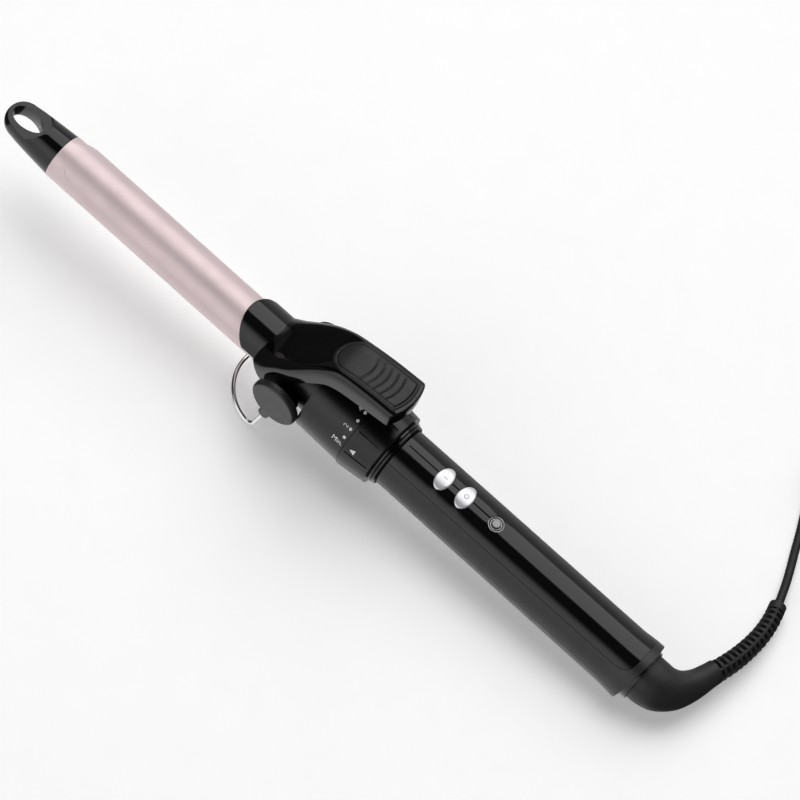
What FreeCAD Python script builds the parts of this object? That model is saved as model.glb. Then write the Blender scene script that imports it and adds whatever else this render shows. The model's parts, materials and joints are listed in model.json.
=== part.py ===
import FreeCAD, Part
import math
import os
import Sketcher
from FreeCAD import Placement, Rotation, Vector

# A curling iron with a sprung clip, a fold-out wire stand, a ten-step temperature dial,
# two push buttons and a swivelling mains cord. It is drawn level in its own axes:
# X runs along the barrel from the hanging loop to the cord, Z is the clip side and
# -Y is the side that carries the dial's pointer. A last placement stands it on its
# stand and on the heel of its handle.

doc = FreeCAD.newDocument("curling_iron")
sheet = doc.addObject("Spreadsheet::Sheet", "sizes")


class Size:
    """A number in millimetres or degrees together with the sheet formula that gives it."""

    def __init__(self, number, formula):
        self.number = float(number)
        self.formula = formula

    def __float__(self):
        return self.number

    def joined(self, other, sign, number):
        text = other.formula if isinstance(other, Size) else repr(float(other))
        return Size(number, f"({self.formula} {sign} {text})")

    def __add__(self, other):
        return self.joined(other, "+", self.number + float(other))

    def __sub__(self, other):
        return self.joined(other, "-", self.number - float(other))

    def __mul__(self, other):
        return self.joined(other, "*", self.number * float(other))

    def __truediv__(self, other):
        return self.joined(other, "/", self.number / float(other))

    def __neg__(self):
        return Size(-self.number, f"(0 - {self.formula})")


rows = []


def cell(alias, number):
    """Writes one driving dimension to the sheet."""
    rows.append(alias)
    row = len(rows)
    sheet.set(f"A{row}", alias)
    sheet.set(f"B{row}", str(number))
    sheet.setAlias(f"B{row}", alias)
    return Size(number, f"sizes.{alias}")


# ---- driving dimensions ---------------------------------------------------------

fit_gap = cell("fit_gap", 0.05)
run_gap = cell("run_gap", 0.3)

cap_len = cell("cap_len", 28.4)
cap_plug = cell("cap_plug", 9)
cap_nose = cell("cap_nose", 7.9)
cap_round = cell("cap_round", 6.4)
cap_wall = cell("cap_wall", 1.8)
loop_thick = cell("loop_thick", 6.4)
loop_start = cell("loop_start", 3.1)
loop_len = cell("loop_len", 15.2)
loop_wide = cell("loop_wide", 10.6)
flat_len = cell("flat_len", 16.5)
scoop_len = cell("scoop_len", 4)

barrel_rad = cell("barrel_rad", 9.5)
barrel_wall = cell("barrel_wall", 0.8)
barrel_len = cell("barrel_len", 147)

heater_start = cell("heater_start", 18)
heater_len = cell("heater_len", 80)
heater_wide = cell("heater_wide", 12)
heater_thick = cell("heater_thick", 2.4)
film_thick = cell("film_thick", 0.25)
fuse_len = cell("fuse_len", 9)
fuse_rad = cell("fuse_rad", 1.6)
lead_rad = cell("lead_rad", 0.8)
lead_offset = cell("lead_offset", 3.2)
lead_tail = cell("lead_tail", 2)
fuse_place = cell("fuse_place", 12)
insulator_len = cell("insulator_len", 4)

clip_setback = cell("clip_setback", 2.4)
clip_wall = cell("clip_wall", 0.7)
clip_angle = cell("clip_angle", 60)
clip_tail = cell("clip_tail", 13.5)
rivet_rad = cell("rivet_rad", 1.3)
rivet_front = cell("rivet_front", 26)
rivet_back = cell("rivet_back", 18)

pivot_reach = cell("pivot_reach", 125.6)
pin_rad = cell("pin_rad", 1.6)
sleeve_front = cell("sleeve_front", 31)
sleeve_back = cell("sleeve_back", 12.3)
sleeve_wall = cell("sleeve_wall", 2.2)
sleeve_angle = cell("sleeve_angle", 72)
ear_rad = cell("ear_rad", 7.2)
ear_wall = cell("ear_wall", 1.8)
lever_wide = cell("lever_wide", 21)
lever_wall = cell("lever_wall", 1.8)
lever_reach = cell("lever_reach", 43)
lever_rise = cell("lever_rise", 41.2)
pad_wide = cell("pad_wide", 16.4)
pad_thick = cell("pad_thick", 1.2)
pad_proud = cell("pad_proud", 0.4)

base_front = cell("base_front", 9.2)
base_wall = cell("base_wall", 1.7)
boss_rad = cell("boss_rad", 4.2)
boss_tall = cell("boss_tall", 0.9)
spring_rad = cell("spring_rad", 3.3)
spring_wire = cell("spring_wire", 0.7)
spring_leg = cell("spring_leg", 6)
spring_room = cell("spring_room", 2.3)

hub_rad = cell("hub_rad", 10.4)
hub_thick = cell("hub_thick", 2.7)
knob_rad = cell("knob_rad", 2.3)
knob_reach = cell("knob_reach", 12.2)
wire_rad = cell("wire_rad", 0.8)
leg_len = cell("leg_len", 28.2)
leg_lean = cell("leg_lean", 10.5)

house_setback = cell("house_setback", 10)
house_len = cell("house_len", 21)
house_rad = cell("house_rad", 16.7)
house_wall = cell("house_wall", 1.7)
dial_len = cell("dial_len", 12.8)
dial_lead = cell("dial_lead", 0.5)
dial_taper = cell("dial_taper", 1.3)
dial_ribs = cell("dial_ribs", 10)
core_rad = cell("core_rad", 13.3)
core_wall = cell("core_wall", 1.5)
core_lip = cell("core_lip", 6)
dial_sweep = cell("dial_sweep", 136)
lug_angle = cell("lug_angle", 8)
bead_len = cell("bead_len", 3)
bead_rad = cell("bead_rad", 14.2)

handle_len = cell("handle_len", 121)
handle_rad = cell("handle_rad", 12.6)
handle_swell = cell("handle_swell", 0.3)
flare_len = cell("flare_len", 8)
flare_rise = cell("flare_rise", 0.5)
handle_wall = cell("handle_wall", 1.7)
end_slant = cell("end_slant", 10)
panel_wide = cell("panel_wide", 18.5)
panel_straight = cell("panel_straight", 112.5)
panel_nose = cell("panel_nose", 7.4)
seam_gap = cell("seam_gap", 0.12)

button_first = cell("button_first", 20.2)
button_pitch = cell("button_pitch", 10.5)
button_len = cell("button_len", 6.6)
button_wide = cell("button_wide", 11)
button_proud = cell("button_proud", 0.4)
stem_rad = cell("stem_rad", 1.5)
stem_dip = cell("stem_dip", 0.9)
button_gap = cell("button_gap", 0.2)
lamp_place = cell("lamp_place", 45.9)
lamp_rad = cell("lamp_rad", 1.5)
lamp_dish = cell("lamp_dish", 3.3)
dish_deep = cell("dish_deep", 0.6)
groove_wide = cell("groove_wide", 0.9)
groove_deep = cell("groove_deep", 0.5)

board_start = cell("board_start", 8)
board_len = cell("board_len", 84)
board_wide = cell("board_wide", 16)
board_thick = cell("board_thick", 1.6)
board_level = cell("board_level", 2)
switch_side = cell("switch_side", 6)
switch_tall = cell("switch_tall", 4.2)
post_rad = cell("post_rad", 2)
screw_rad = cell("screw_rad", 1.2)
screw_head = cell("screw_head", 2.3)
screw_len = cell("screw_len", 17)
screw_first = cell("screw_first", 14)
screw_second = cell("screw_second", 86)
screw_sink = cell("screw_sink", 0.4)
boss_wide = cell("boss_wide", 3.5)

ring_len = cell("ring_len", 1.6)
neck_gap = cell("neck_gap", 1)
neck_rad = cell("neck_rad", 9.9)
neck_len = cell("neck_len", 7.5)
spindle_rad = cell("spindle_rad", 4.8)
spindle_len = cell("spindle_len", 20)
socket_wall = cell("socket_wall", 2.4)
flange_rad = cell("flange_rad", 7)
slip_rad = cell("slip_rad", 5.8)
slip_len = cell("slip_len", 1.6)
outlet_rad = cell("outlet_rad", 4.7)
relief_tip = cell("relief_tip", 3.4)

cord_rad = cell("cord_rad", 1.7)
coil_out = cell("coil_out", 27.5)
coil_in = cell("coil_in", 12.5)
coil_tall = cell("coil_tall", 12.8)
coil_round = cell("coil_round", 3)
plug_wide = cell("plug_wide", 35.3)
plug_long = cell("plug_long", 35)
plug_thick = cell("plug_thick", 14)
plug_root = cell("plug_root", 4.4)
plug_relief = cell("plug_relief", 21)
prong_rad = cell("prong_rad", 2)
prong_len = cell("prong_len", 19)
prong_pitch = cell("prong_pitch", 19)
doc.recompute()

# ---- places that follow from them -----------------------------------------------

pivot = cap_len + pivot_reach
barrel_end = cap_len + barrel_len
bore_rad = barrel_rad - barrel_wall
clip_in = barrel_rad + run_gap
clip_out = clip_in + clip_wall
sleeve_in = clip_out + fit_gap
sleeve_out = sleeve_in + sleeve_wall
base_out = barrel_rad + fit_gap + base_wall
boss_face = base_out + boss_tall
ear_in = boss_face + run_gap
ear_out = ear_in + ear_wall
hub_in = ear_out + spring_room
hub_out = hub_in + hub_thick
wire_mid = hub_in + hub_thick / 2
house_front = pivot + house_setback
dial_front = house_front + house_len + run_gap
dial_back = dial_front + dial_len
bead_front = dial_back + run_gap
handle_front = bead_front + bead_len
handle_back = handle_front + handle_len
ring_back = handle_back + ring_len
neck_front = ring_back + neck_gap
board_top = board_level + board_thick

# The iron leans about the heel of the handle until the stand's two corners touch down.
heel_rad = float(handle_rad + handle_swell + flare_rise)
heel_x = float(handle_back) - heel_rad * math.tan(math.radians(float(end_slant)))
lean = math.radians(float(leg_lean))
foot_drop = float(leg_len)
heel_run = heel_x - float(pivot)


def foot_height(tilt):
    """Height of the stand's corners over the heel when the iron leans by this angle."""
    foot_x = -foot_drop * math.sin(lean)
    foot_z = -foot_drop * math.cos(lean)
    foot = -foot_x * math.sin(tilt) + foot_z * math.cos(tilt) - float(wire_rad)
    heel = -heel_run * math.sin(tilt) - heel_rad * math.cos(tilt)
    return foot - heel


low, high = 0.0, math.radians(30)
while high - low > 1e-9:
    middle = (low + high) / 2
    if foot_height(middle) < 0:
        low = middle
    else:
        high = middle
tilt_angle = math.degrees(low)
tilted = Rotation(Vector(0, 1, 0), tilt_angle)
heel_point = tilted.multVec(Vector(heel_x, 0, -heel_rad))

parts = []


def named(part, label):
    """Gives a finished sub-part its name and puts it on the list."""
    part.Label = label
    parts.append(part)
    return part


# ---- ways of making a piece -----------------------------------------------------

def origin_piece(body, role):
    return [piece for piece in body.Origin.OriginFeatures if piece.Role == role][0]


def sketch_on(body, plane):
    sketch = body.newObject("Sketcher::SketchObject", "outline")
    sketch.AttachmentSupport = [(origin_piece(body, plane), "")]
    sketch.MapMode = "FlatFace"
    return sketch


def tie(sketch, kind, line, size):
    """Holds one coordinate of a line's first end at a size."""
    if isinstance(size, Size):
        number = sketch.addConstraint(Sketcher.Constraint(kind, -1, 1, line, 1, float(size)))
        sketch.setExpression(f"Constraints[{number}]", size.formula)
    elif size == 0:
        axis = -2 if kind == "DistanceX" else -1
        sketch.addConstraint(Sketcher.Constraint("PointOnObject", line, 1, axis))
    else:
        sketch.addConstraint(Sketcher.Constraint(kind, -1, 1, line, 1, float(size)))


def polygon(sketch, corners):
    """A closed outline of straight lines through the corners."""
    first = sketch.GeometryCount
    ends = [Vector(float(x), float(y), 0) for x, y in corners]
    for start, end in zip(ends, ends[1:] + ends[:1]):
        sketch.addGeometry(Part.LineSegment(start, end), False)
    for step, (x, y) in enumerate(corners):
        line = first + step
        after = first + (step + 1) % len(corners)
        sketch.addConstraint(Sketcher.Constraint("Coincident", line, 2, after, 1))
    for step, (x, y) in enumerate(corners):
        tie(sketch, "DistanceX", first + step, x)
        tie(sketch, "DistanceY", first + step, y)


def turned(name, corners):
    """A body turned about the barrel's axis from an outline of (along, radius) corners."""
    body = doc.addObject("PartDesign::Body", name)
    sketch = sketch_on(body, "XZ_Plane")
    polygon(sketch, corners)
    turn = body.newObject("PartDesign::Revolution", "turn")
    turn.Profile = sketch
    turn.ReferenceAxis = (origin_piece(body, "X_Axis"), [""])
    turn.Angle = 360
    return body


def padded(name, plane, corners, depth):
    """A body padded to both sides of a plane."""
    body = doc.addObject("PartDesign::Body", name)
    sketch = sketch_on(body, plane)
    polygon(sketch, corners)
    pad = body.newObject("PartDesign::Pad", "pad")
    pad.Profile = sketch
    pad.SideType = "Symmetric"
    pad.setExpression("Length", depth.formula)
    return body


def cut_through(body, plane, draw):
    """A pocket cut right through a body on both sides of a plane."""
    sketch = sketch_on(body, plane)
    draw(sketch)
    pocket = body.newObject("PartDesign::Pocket", "cut")
    pocket.Profile = sketch
    pocket.Type = "ThroughAll"
    pocket.SideType = "Symmetric"
    return pocket


def put(piece, x, y, z):
    """Ties a primitive's place to the sheet."""
    for axis, size in zip("xyz", (x, y, z)):
        if isinstance(size, Size):
            piece.setExpression(f"Placement.Base.{axis}", size.formula)


TURNS = {
    "x": Rotation(Vector(0, 1, 0), 90),
    "y": Rotation(Vector(1, 0, 0), -90),
    "-y": Rotation(Vector(1, 0, 0), 90),
    "z": Rotation(),
}


def rod(radius, length, x, y, z, along):
    """A cylinder that starts at a point and runs along an axis."""
    piece = doc.addObject("Part::Cylinder", "rod")
    base = [float(size) for size in (x, y, z)]
    piece.Placement = Placement(Vector(*base), TURNS[along])
    piece.setExpression("Radius", radius.formula)
    piece.setExpression("Height", length.formula)
    put(piece, x, y, z)
    return piece


def block(length, width, height, x, y, z):
    """A box from its lowest corner."""
    piece = doc.addObject("Part::Box", "block")
    piece.Placement = Placement(Vector(float(x), float(y), float(z)), Rotation())
    piece.setExpression("Length", length.formula)
    piece.setExpression("Width", width.formula)
    piece.setExpression("Height", height.formula)
    put(piece, x, y, z)
    return piece


def together(pieces):
    group = doc.addObject("Part::Compound", "group")
    group.Links = pieces
    return group


def fused(pieces):
    union = doc.addObject("Part::MultiFuse", "union")
    union.Shapes = pieces
    return union


def less(base, tool):
    cut = doc.addObject("Part::Cut", "cut")
    cut.Base = base
    cut.Tool = tool
    return cut


def shared(base, tool):
    common = doc.addObject("Part::Common", "common")
    common.Base = base
    common.Tool = tool
    return common


def shaped(name, shape):
    piece = doc.addObject("Part::Feature", name)
    piece.Shape = shape
    return piece


def tube_solid(outer, inner, start, length):
    """A plain tube along X, used to trim hand-made shapes."""
    begin = Vector(float(start), 0, 0)
    along = Vector(1, 0, 0)
    solid = Part.makeCylinder(float(outer), float(length), begin, along)
    return solid.cut(Part.makeCylinder(float(inner), float(length), begin, along))


def sector(angle, reach, start, length):
    """A wedge about the axis, opening upwards by an angle to each side."""
    half = math.radians(float(angle))
    far = float(reach)
    corners = [Vector(float(start), 0, 0)]
    steps = 8
    for step in range(steps + 1):
        turn = -half + 2 * half * step / steps
        corners.append(Vector(float(start), far * math.sin(turn), far * math.cos(turn)))
    face = Part.Face(Part.makePolygon(corners + corners[:1]))
    return face.extrude(Vector(float(length), 0, 0))


# ---- barrel, cool tip and heater -------------------------------------------------

barrel = turned("barrel", [
    (cap_len, bore_rad), (cap_len, barrel_rad), (barrel_end, barrel_rad), (barrel_end, bore_rad),
])
named(barrel, "barrel_tube")

# The moulded tip plugs into the barrel and ends in a flat loop to hang the iron by.
plug_rad = bore_rad - fit_gap
tip = turned("tip", [
    (0, 0), (0, cap_nose), (cap_len, barrel_rad), (cap_len, plug_rad),
    (cap_len + cap_plug, plug_rad), (cap_len + cap_plug, plug_rad - cap_wall),
    (cap_len, plug_rad - cap_wall), (cap_len, 0),
])
doc.recompute()
nose_edge = [
    f"Edge{number}" for number, edge in enumerate(tip.Shape.Edges, 1)
    if edge.BoundBox.XMax < 1e-6 and abs(edge.BoundBox.ZMax - float(cap_nose)) < 1e-6
]
tip_turn = tip.Tip
nose_round = tip.newObject("PartDesign::Fillet", "nose_round")
nose_round.Base = (tip_turn, nose_edge)
nose_round.setExpression("Radius", cap_round.formula)


def draw_scoops(sketch):
    """The two flats of the loop, above and below, and the slopes that lead to them."""
    top = cap_nose + barrel_rad
    flat = loop_thick / 2
    slope = flat_len + scoop_len
    polygon(sketch, [(-1, flat), (flat_len, flat), (slope, barrel_rad), (slope, top), (-1, top)])
    polygon(sketch, [(-1, -flat), (-1, -top), (slope, -top), (slope, -barrel_rad),
                     (flat_len, -flat)])


def draw_loop(sketch):
    """The egg-shaped hole: a wide round end by the nose and a narrow one by the barrel."""
    wide = float(loop_wide) / 2
    narrow = wide / 2
    near = float(loop_start) + wide
    far = float(loop_start + loop_len) - narrow
    slope = math.acos((wide - narrow) / (far - near))
    up = Vector(math.cos(slope), math.sin(slope), 0)
    down = Vector(up.x, -up.y, 0)
    axis = Vector(0, 0, 1)
    big = Part.Circle(Vector(near, 0, 0), axis, wide)
    small = Part.Circle(Vector(far, 0, 0), axis, narrow)
    turn = 2 * math.pi
    sketch.addGeometry(Part.ArcOfCircle(big, slope, turn - slope), False)
    sketch.addGeometry(Part.ArcOfCircle(small, -slope, slope), False)
    sketch.addGeometry(Part.LineSegment(big.Center + up * wide, small.Center + up * narrow), False)
    sketch.addGeometry(Part.LineSegment(big.Center + down * wide, small.Center + down * narrow),
                       False)
    joints = ((0, 1, 2, 1), (2, 2, 1, 2), (1, 1, 3, 2), (3, 1, 0, 2))
    for first, end, second, start in joints:
        sketch.addConstraint(Sketcher.Constraint("Tangent", first, end, second, start))
    sketch.addConstraint(Sketcher.Constraint("PointOnObject", 0, 3, -1))
    sketch.addConstraint(Sketcher.Constraint("PointOnObject", 1, 3, -1))
    for kind, line, size in (("Radius", 0, loop_wide / 2), ("Radius", 1, loop_wide / 4)):
        number = sketch.addConstraint(Sketcher.Constraint(kind, line, float(size)))
        sketch.setExpression(f"Constraints[{number}]", size.formula)
    centres = (loop_start + loop_wide / 2, loop_start + loop_len - loop_wide / 4)
    for line, size in enumerate(centres):
        number = sketch.addConstraint(
            Sketcher.Constraint("DistanceX", -1, 1, line, 3, float(size)))
        sketch.setExpression(f"Constraints[{number}]", size.formula)


cut_through(tip, "XZ_Plane", draw_scoops)
cut_through(tip, "XY_Plane", draw_loop)
named(tip, "cool_tip")

# A flat ceramic heater is clamped between two half-round aluminium shoes that fill the barrel.
heater_front = cap_len + heater_start
heater = block(heater_len, heater_wide, heater_thick,
               heater_front, -(heater_wide / 2), -(heater_thick / 2))
named(together([heater]), "ptc_heater")
film_wide = heater_wide + 1
films = []
for level in (heater_thick / 2, -(heater_thick / 2) - film_thick):
    films.append(block(heater_len, film_wide, film_thick, heater_front, -(film_wide / 2), level))
named(together(films), "heater_insulation")
shoe_level = heater_thick / 2 + film_thick
shoe_rad = bore_rad - fit_gap
for label, low_side in (("heater_shoe_upper", shoe_level), ("heater_shoe_lower", -barrel_rad)):
    half = block(heater_len, barrel_rad * 2, barrel_rad - shoe_level,
                 heater_front, -barrel_rad, low_side)
    round_bar = rod(shoe_rad, heater_len, heater_front, 0, 0, "x")
    named(shared(round_bar, half), label)

heater_back = heater_front + heater_len
insulator_front = barrel_end - insulator_len
lead_level = board_level - lead_rad
insulator = rod(shoe_rad, insulator_len, insulator_front, 0, 0, "x")
lead_room = lead_rad + fit_gap
lead_holes = []
for side in (lead_offset, -lead_offset):
    lead_holes.append(rod(lead_room, insulator_len, insulator_front, side, lead_level, "x"))
named(less(insulator, together(lead_holes)), "lead_insulator")

# One lead runs straight back from the heater; the other passes through the thermal fuse.
board_front = handle_front + board_start
lead_end = board_front + lead_tail
fuse_front = heater_back + fuse_place
fuse = rod(fuse_rad, fuse_len, fuse_front, lead_offset, lead_level, "x")
named(together([fuse]), "thermal_fuse")
fuse_back = fuse_front + fuse_len
leads = [
    rod(lead_rad, lead_end - heater_back, heater_back, -lead_offset, lead_level, "x"),
    rod(lead_rad, fuse_front - heater_back, heater_back, lead_offset, lead_level, "x"),
    rod(lead_rad, lead_end - fuse_back, fuse_back, lead_offset, lead_level, "x"),
]
named(together(leads), "heater_leads")

# ---- hinge base: holds the barrel in the housing and carries the clip's pins ------

base_start = pivot - base_front
base_flange = house_rad - house_wall - fit_gap
hinge_base = turned("hinge_base_turned", [
    (base_start, barrel_rad + fit_gap), (base_start, base_out),
    (house_front + house_wall + fit_gap, base_out),
    (house_front + house_wall + fit_gap, base_flange),
    (house_front + house_wall * 2, base_flange), (house_front + house_wall * 2, base_out),
    (barrel_end, base_out), (barrel_end, barrel_rad + fit_gap),
])
boss_start = base_out - base_wall * 0.6
near_boss = rod(boss_rad, boss_face - boss_start, pivot, -boss_start, 0, "-y")
far_boss = rod(boss_rad, boss_face - boss_start, pivot, boss_start, 0, "y")
pin_start = barrel_rad + 0.6
pin_len = hub_out - 0.8 - pin_start
pin_holes = together([
    rod(pin_rad, pin_len, pivot, -pin_start, 0, "-y"),
    rod(pin_rad, pin_len, pivot, pin_start, 0, "y"),
])
base_union = fused([hinge_base, near_boss, far_boss])
named(less(base_union, pin_holes), "hinge_base")
named(together([
    rod(pin_rad, pin_len, pivot, -pin_start, 0, "-y"),
    rod(pin_rad, pin_len, pivot, pin_start, 0, "y"),
]), "hinge_pins")

# ---- clip lever ------------------------------------------------------------------

px = float(pivot)


def at_pivot(x, z, y=0.0):
    return Vector(px + x, y, z)


def lever_top(drop):
    """The lever's back, from the clip sleeve up to its rear edge, lowered by an amount."""
    rise = float(lever_rise)
    reach = float(lever_reach)
    outline = [
        (-15.5, 13.2), (-9.5, 15.2), (-4, 19.5), (1, 25.2), (6, 30.6),
        (12, rise - 5.6), (20, rise - 3.2), (32, rise - 1.2), (reach + 3, rise),
    ]
    curve = Part.BSplineCurve()
    curve.interpolate([at_pivot(x, z - drop) for x, z in outline])
    return curve


def lever_side(drop, bottom):
    """Side view of the lever: its back curve closed along the lines below it."""
    curve = lever_top(drop)
    corners = [curve.EndPoint] + [at_pivot(x, z) for x, z in bottom] + [curve.StartPoint]
    edges = [curve.toShape()]
    edges += [Part.LineSegment(a, b).toShape() for a, b in zip(corners, corners[1:])]
    face = Part.Face(Part.Wire(edges))
    face.translate(Vector(0, -30, 0))
    return face.extrude(Vector(0, 60, 0))


def lever_plan(inset):
    """Plan view: broad over the hinge, narrow and round-ended under the thumb."""
    broad = float(ear_out) - inset
    narrow = float(lever_wide) / 2 - inset
    reach = float(lever_reach) - inset
    start = Vector(px - 16.5, -broad, -30)
    waist = Vector(px + 4.5, -broad, -30)
    neck = Vector(px + 15.5, -narrow, -30)
    corner = Vector(px + reach - 2.6, -narrow, -30)
    heel = Vector(px + reach, 0, -30)
    flip = [Vector(point.x, -point.y, point.z) for point in (corner, neck, waist, start)]
    wire = Part.Wire([
        Part.LineSegment(start, waist).toShape(), Part.LineSegment(waist, neck).toShape(),
        Part.LineSegment(neck, corner).toShape(), Part.Arc(corner, heel, flip[0]).toShape(),
        Part.LineSegment(flip[0], flip[1]).toShape(), Part.LineSegment(flip[1], flip[2]).toShape(),
        Part.LineSegment(flip[2], flip[3]).toShape(), Part.LineSegment(flip[3], start).toShape(),
    ])
    return Part.Face(wire).extrude(Vector(0, 0, 90))


wall = float(lever_wall)
reach = float(lever_reach)
rise = float(lever_rise)
outer_bottom = [
    (reach + 3, rise - 7.4), (15.6, rise - 14.6), (2.2, 11.5), (0, 5.5),
    (-3, 0.8), (-11, -0.4), (-16.5, 4),
]
outside = lever_side(0, outer_bottom).common(lever_plan(0))
ears = Part.makeCylinder(float(ear_rad), float(ear_out) * 2,
                         Vector(px, -float(ear_out), 0), Vector(0, 1, 0))
outside = outside.fuse(ears)
inside = lever_side(wall, [(reach + 3, -20), (-16.5, -20)])
inside = inside.common(lever_plan(float(ear_wall)))
core = Part.makeCylinder(float(ear_in), 33, Vector(px - 20, 0, 0), Vector(1, 0, 0))
saddle = outside.cut(inside).cut(core)
sleeve = tube_solid(sleeve_out, sleeve_in, pivot - sleeve_front, sleeve_front - sleeve_back)
sleeve = sleeve.common(sector(sleeve_angle, 40, pivot - sleeve_front, sleeve_front))
bridge = tube_solid(ear_out - 0.5, sleeve_in, pivot - sleeve_back - 4, 4)
bridge = bridge.common(sector(sleeve_angle, 40, pivot - sleeve_front, sleeve_front))
lever_body = saddle.fuse([sleeve, bridge]).removeSplitter()


def pad_outline():
    """The thumb pad in plan: round in front, following the lever's rear edge behind."""
    half = float(pad_wide) / 2
    back = reach - 0.9
    front = 7.5
    near = [Vector(px + front + half, -half, -30), Vector(px + back - 2, -half, -30)]
    far = [Vector(px + back - 2, half, -30), Vector(px + front + half, half, -30)]
    wire = Part.Wire([
        Part.LineSegment(near[0], near[1]).toShape(),
        Part.Arc(near[1], Vector(px + back, 0, -30), far[0]).toShape(),
        Part.LineSegment(far[0], far[1]).toShape(),
        Part.Arc(far[1], Vector(px + front, 0, -30), near[0]).toShape(),
    ])
    return Part.Face(wire).extrude(Vector(0, 0, 90))


proud = float(pad_proud)
pad_top = lever_side(-proud, [(reach + 3, -20), (-16.5, -20)])
pad_under = lever_side(float(pad_thick) - proud, [(reach + 3, -20), (-16.5, -20)])
pad_shape = pad_top.cut(pad_under).common(pad_outline())
rivet_holes = []
for place in (rivet_front, rivet_back):
    spot = Vector(px - float(place), 0, 0)
    rivet_holes.append(Part.makeCylinder(float(rivet_rad), float(sleeve_in) + 1, spot,
                                         Vector(0, 0, 1)))
ear_pin_room = Part.makeCylinder(float(pin_rad + fit_gap), float(hub_out) * 2,
                                 Vector(px, -float(hub_out), 0), Vector(0, 1, 0))
lever_body = lever_body.cut(pad_shape).cut(ear_pin_room).cut(rivet_holes)
named(shaped("lever_shape", lever_body), "clip_lever")
named(shaped("pad_shape", pad_shape), "thumb_pad")

# The clip is a curved sheet with a round front end, tucked under the sleeve and riveted.
clip_front = cap_len + clip_setback
clip_len = pivot - clip_tail - clip_front
clip_shape = tube_solid(clip_out, clip_in, clip_front, clip_len)
clip_shape = clip_shape.common(sector(clip_angle, 30, clip_front, clip_len))
half_chord = float(clip_out) * math.sin(math.radians(float(clip_angle)))
nose = Part.Ellipse(Vector(float(clip_front) + half_chord, 0, 0), half_chord, half_chord - 0.01)
plan = Part.Face(Part.Wire([nose.toShape()])).extrude(Vector(0, 0, 30))
straight = Part.makeBox(float(clip_len), 40, 30, Vector(float(clip_front) + half_chord, -20, 0))
clip_shape = clip_shape.common(plan.fuse(straight)).cut(rivet_holes)
named(shaped("clip_shape", clip_shape), "clip_plate")
rivets = []
for place in (rivet_front, rivet_back):
    spot = Vector(px - float(place), 0, float(clip_in) + 0.1)
    rivets.append(Part.makeCylinder(float(rivet_rad), float(sleeve_in - clip_in) + 0.9, spot,
                                    Vector(0, 0, 1)))
named(shaped("rivet_shape", Part.makeCompound(rivets)), "clip_rivets")

# ---- torsion springs on the hinge pins -------------------------------------------


def torsion_spring(side):
    """One and a quarter turns round the pin, with a leg to the lever and one to the base."""
    wire = float(spring_wire) / 2
    radius = float(spring_rad)
    turns = 1.25
    pitch = float(spring_wire) + 0.05
    rise_along = pitch * turns
    helix = Part.makeHelix(pitch, rise_along, radius)
    slope = pitch / (2 * math.pi * radius)
    angle = 2 * math.pi * turns
    start = Vector(radius, 0, 0)
    end = Vector(radius * math.cos(angle), radius * math.sin(angle), rise_along)
    come = Vector(0, 1, slope)
    leave = Vector(-math.sin(angle), math.cos(angle), slope)
    leg = float(spring_leg)
    tail = start - come * leg
    line = Part.Wire([Part.LineSegment(tail, start).toShape()] + helix.Edges
                     + [Part.LineSegment(end, end + leave * leg).toShape()])
    ring = Part.Wire([Part.Circle(tail, come, wire).toShape()])
    spring = line.makePipeShell([ring], True, True)
    spring.rotate(Vector(), Vector(1, 0, 0), 90)
    spring.rotate(Vector(), Vector(0, 1, 0), 125)
    middle = (float(ear_out) + float(hub_in)) / 2
    spring.translate(Vector(px, -middle + rise_along / 2, 0))
    if side > 0:
        spring = spring.mirror(Vector(), Vector(0, 1, 0))
    return spring


springs = Part.makeCompound([torsion_spring(-1), torsion_spring(1)])
named(shaped("spring_shape", springs), "clip_springs")

# ---- fold-out stand --------------------------------------------------------------


def stand_point(out, side, forward=0.0):
    """A point on the stand: out along its legs, across, and forward square to the legs."""
    x = -out * math.sin(lean) - forward * math.cos(lean)
    z = -out * math.cos(lean) + forward * math.sin(lean)
    return at_pivot(x, z, side)


def stand_hub(side):
    """A domed disc with a ridge that ends in the knob that grips the wire."""
    along = Vector(0, side, 0)
    start = at_pivot(0, 0, side * float(hub_in))
    disc = Part.makeCylinder(float(hub_rad), float(hub_thick), start, along)
    rim = [edge for edge in disc.Edges
           if abs(abs(edge.BoundBox.YMax) - float(hub_out)) < 1e-6
           or abs(abs(edge.BoundBox.YMin) - float(hub_out)) < 1e-6]
    rim = [edge for edge in rim if edge.BoundBox.YLength < 1e-6]
    disc = disc.makeFillet(float(hub_thick) * 0.5, rim)
    grip = Part.makeCylinder(float(knob_rad), float(hub_thick) * 0.8,
                             stand_point(float(knob_reach), side * float(hub_in)), along)
    pin_room = Part.makeCylinder(float(pin_rad + fit_gap), float(hub_thick) - 0.75,
                                 start, along)
    return disc.fuse(grip).cut(pin_room).removeSplitter()


half_bow = float(wire_mid)
corner_rad = 3.2
leg_end = float(leg_len)
root_out = float(knob_reach) - 1.2


def wire_path():
    """Down one leg, round the half-circle bow that clasps the housing, and up the other."""
    edges = []
    for side in (-1, 1):
        top = stand_point(root_out, side * half_bow)
        low_leg = stand_point(leg_end - corner_rad, side * half_bow)
        mid = corner_rad * (1 - math.sqrt(0.5))
        bend = stand_point(leg_end - mid, side * half_bow, mid)
        bow_start = stand_point(leg_end, side * half_bow, corner_rad)
        leg_edges = [Part.LineSegment(top, low_leg).toShape(),
                     Part.Arc(low_leg, bend, bow_start).toShape()]
        edges.append((leg_edges, bow_start))
    crown = stand_point(leg_end, 0, corner_rad + half_bow * 0.93)
    bow = Part.Arc(edges[0][1], crown, edges[1][1]).toShape()
    return Part.Wire(edges[0][0] + [bow] + edges[1][0][::-1])


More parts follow.
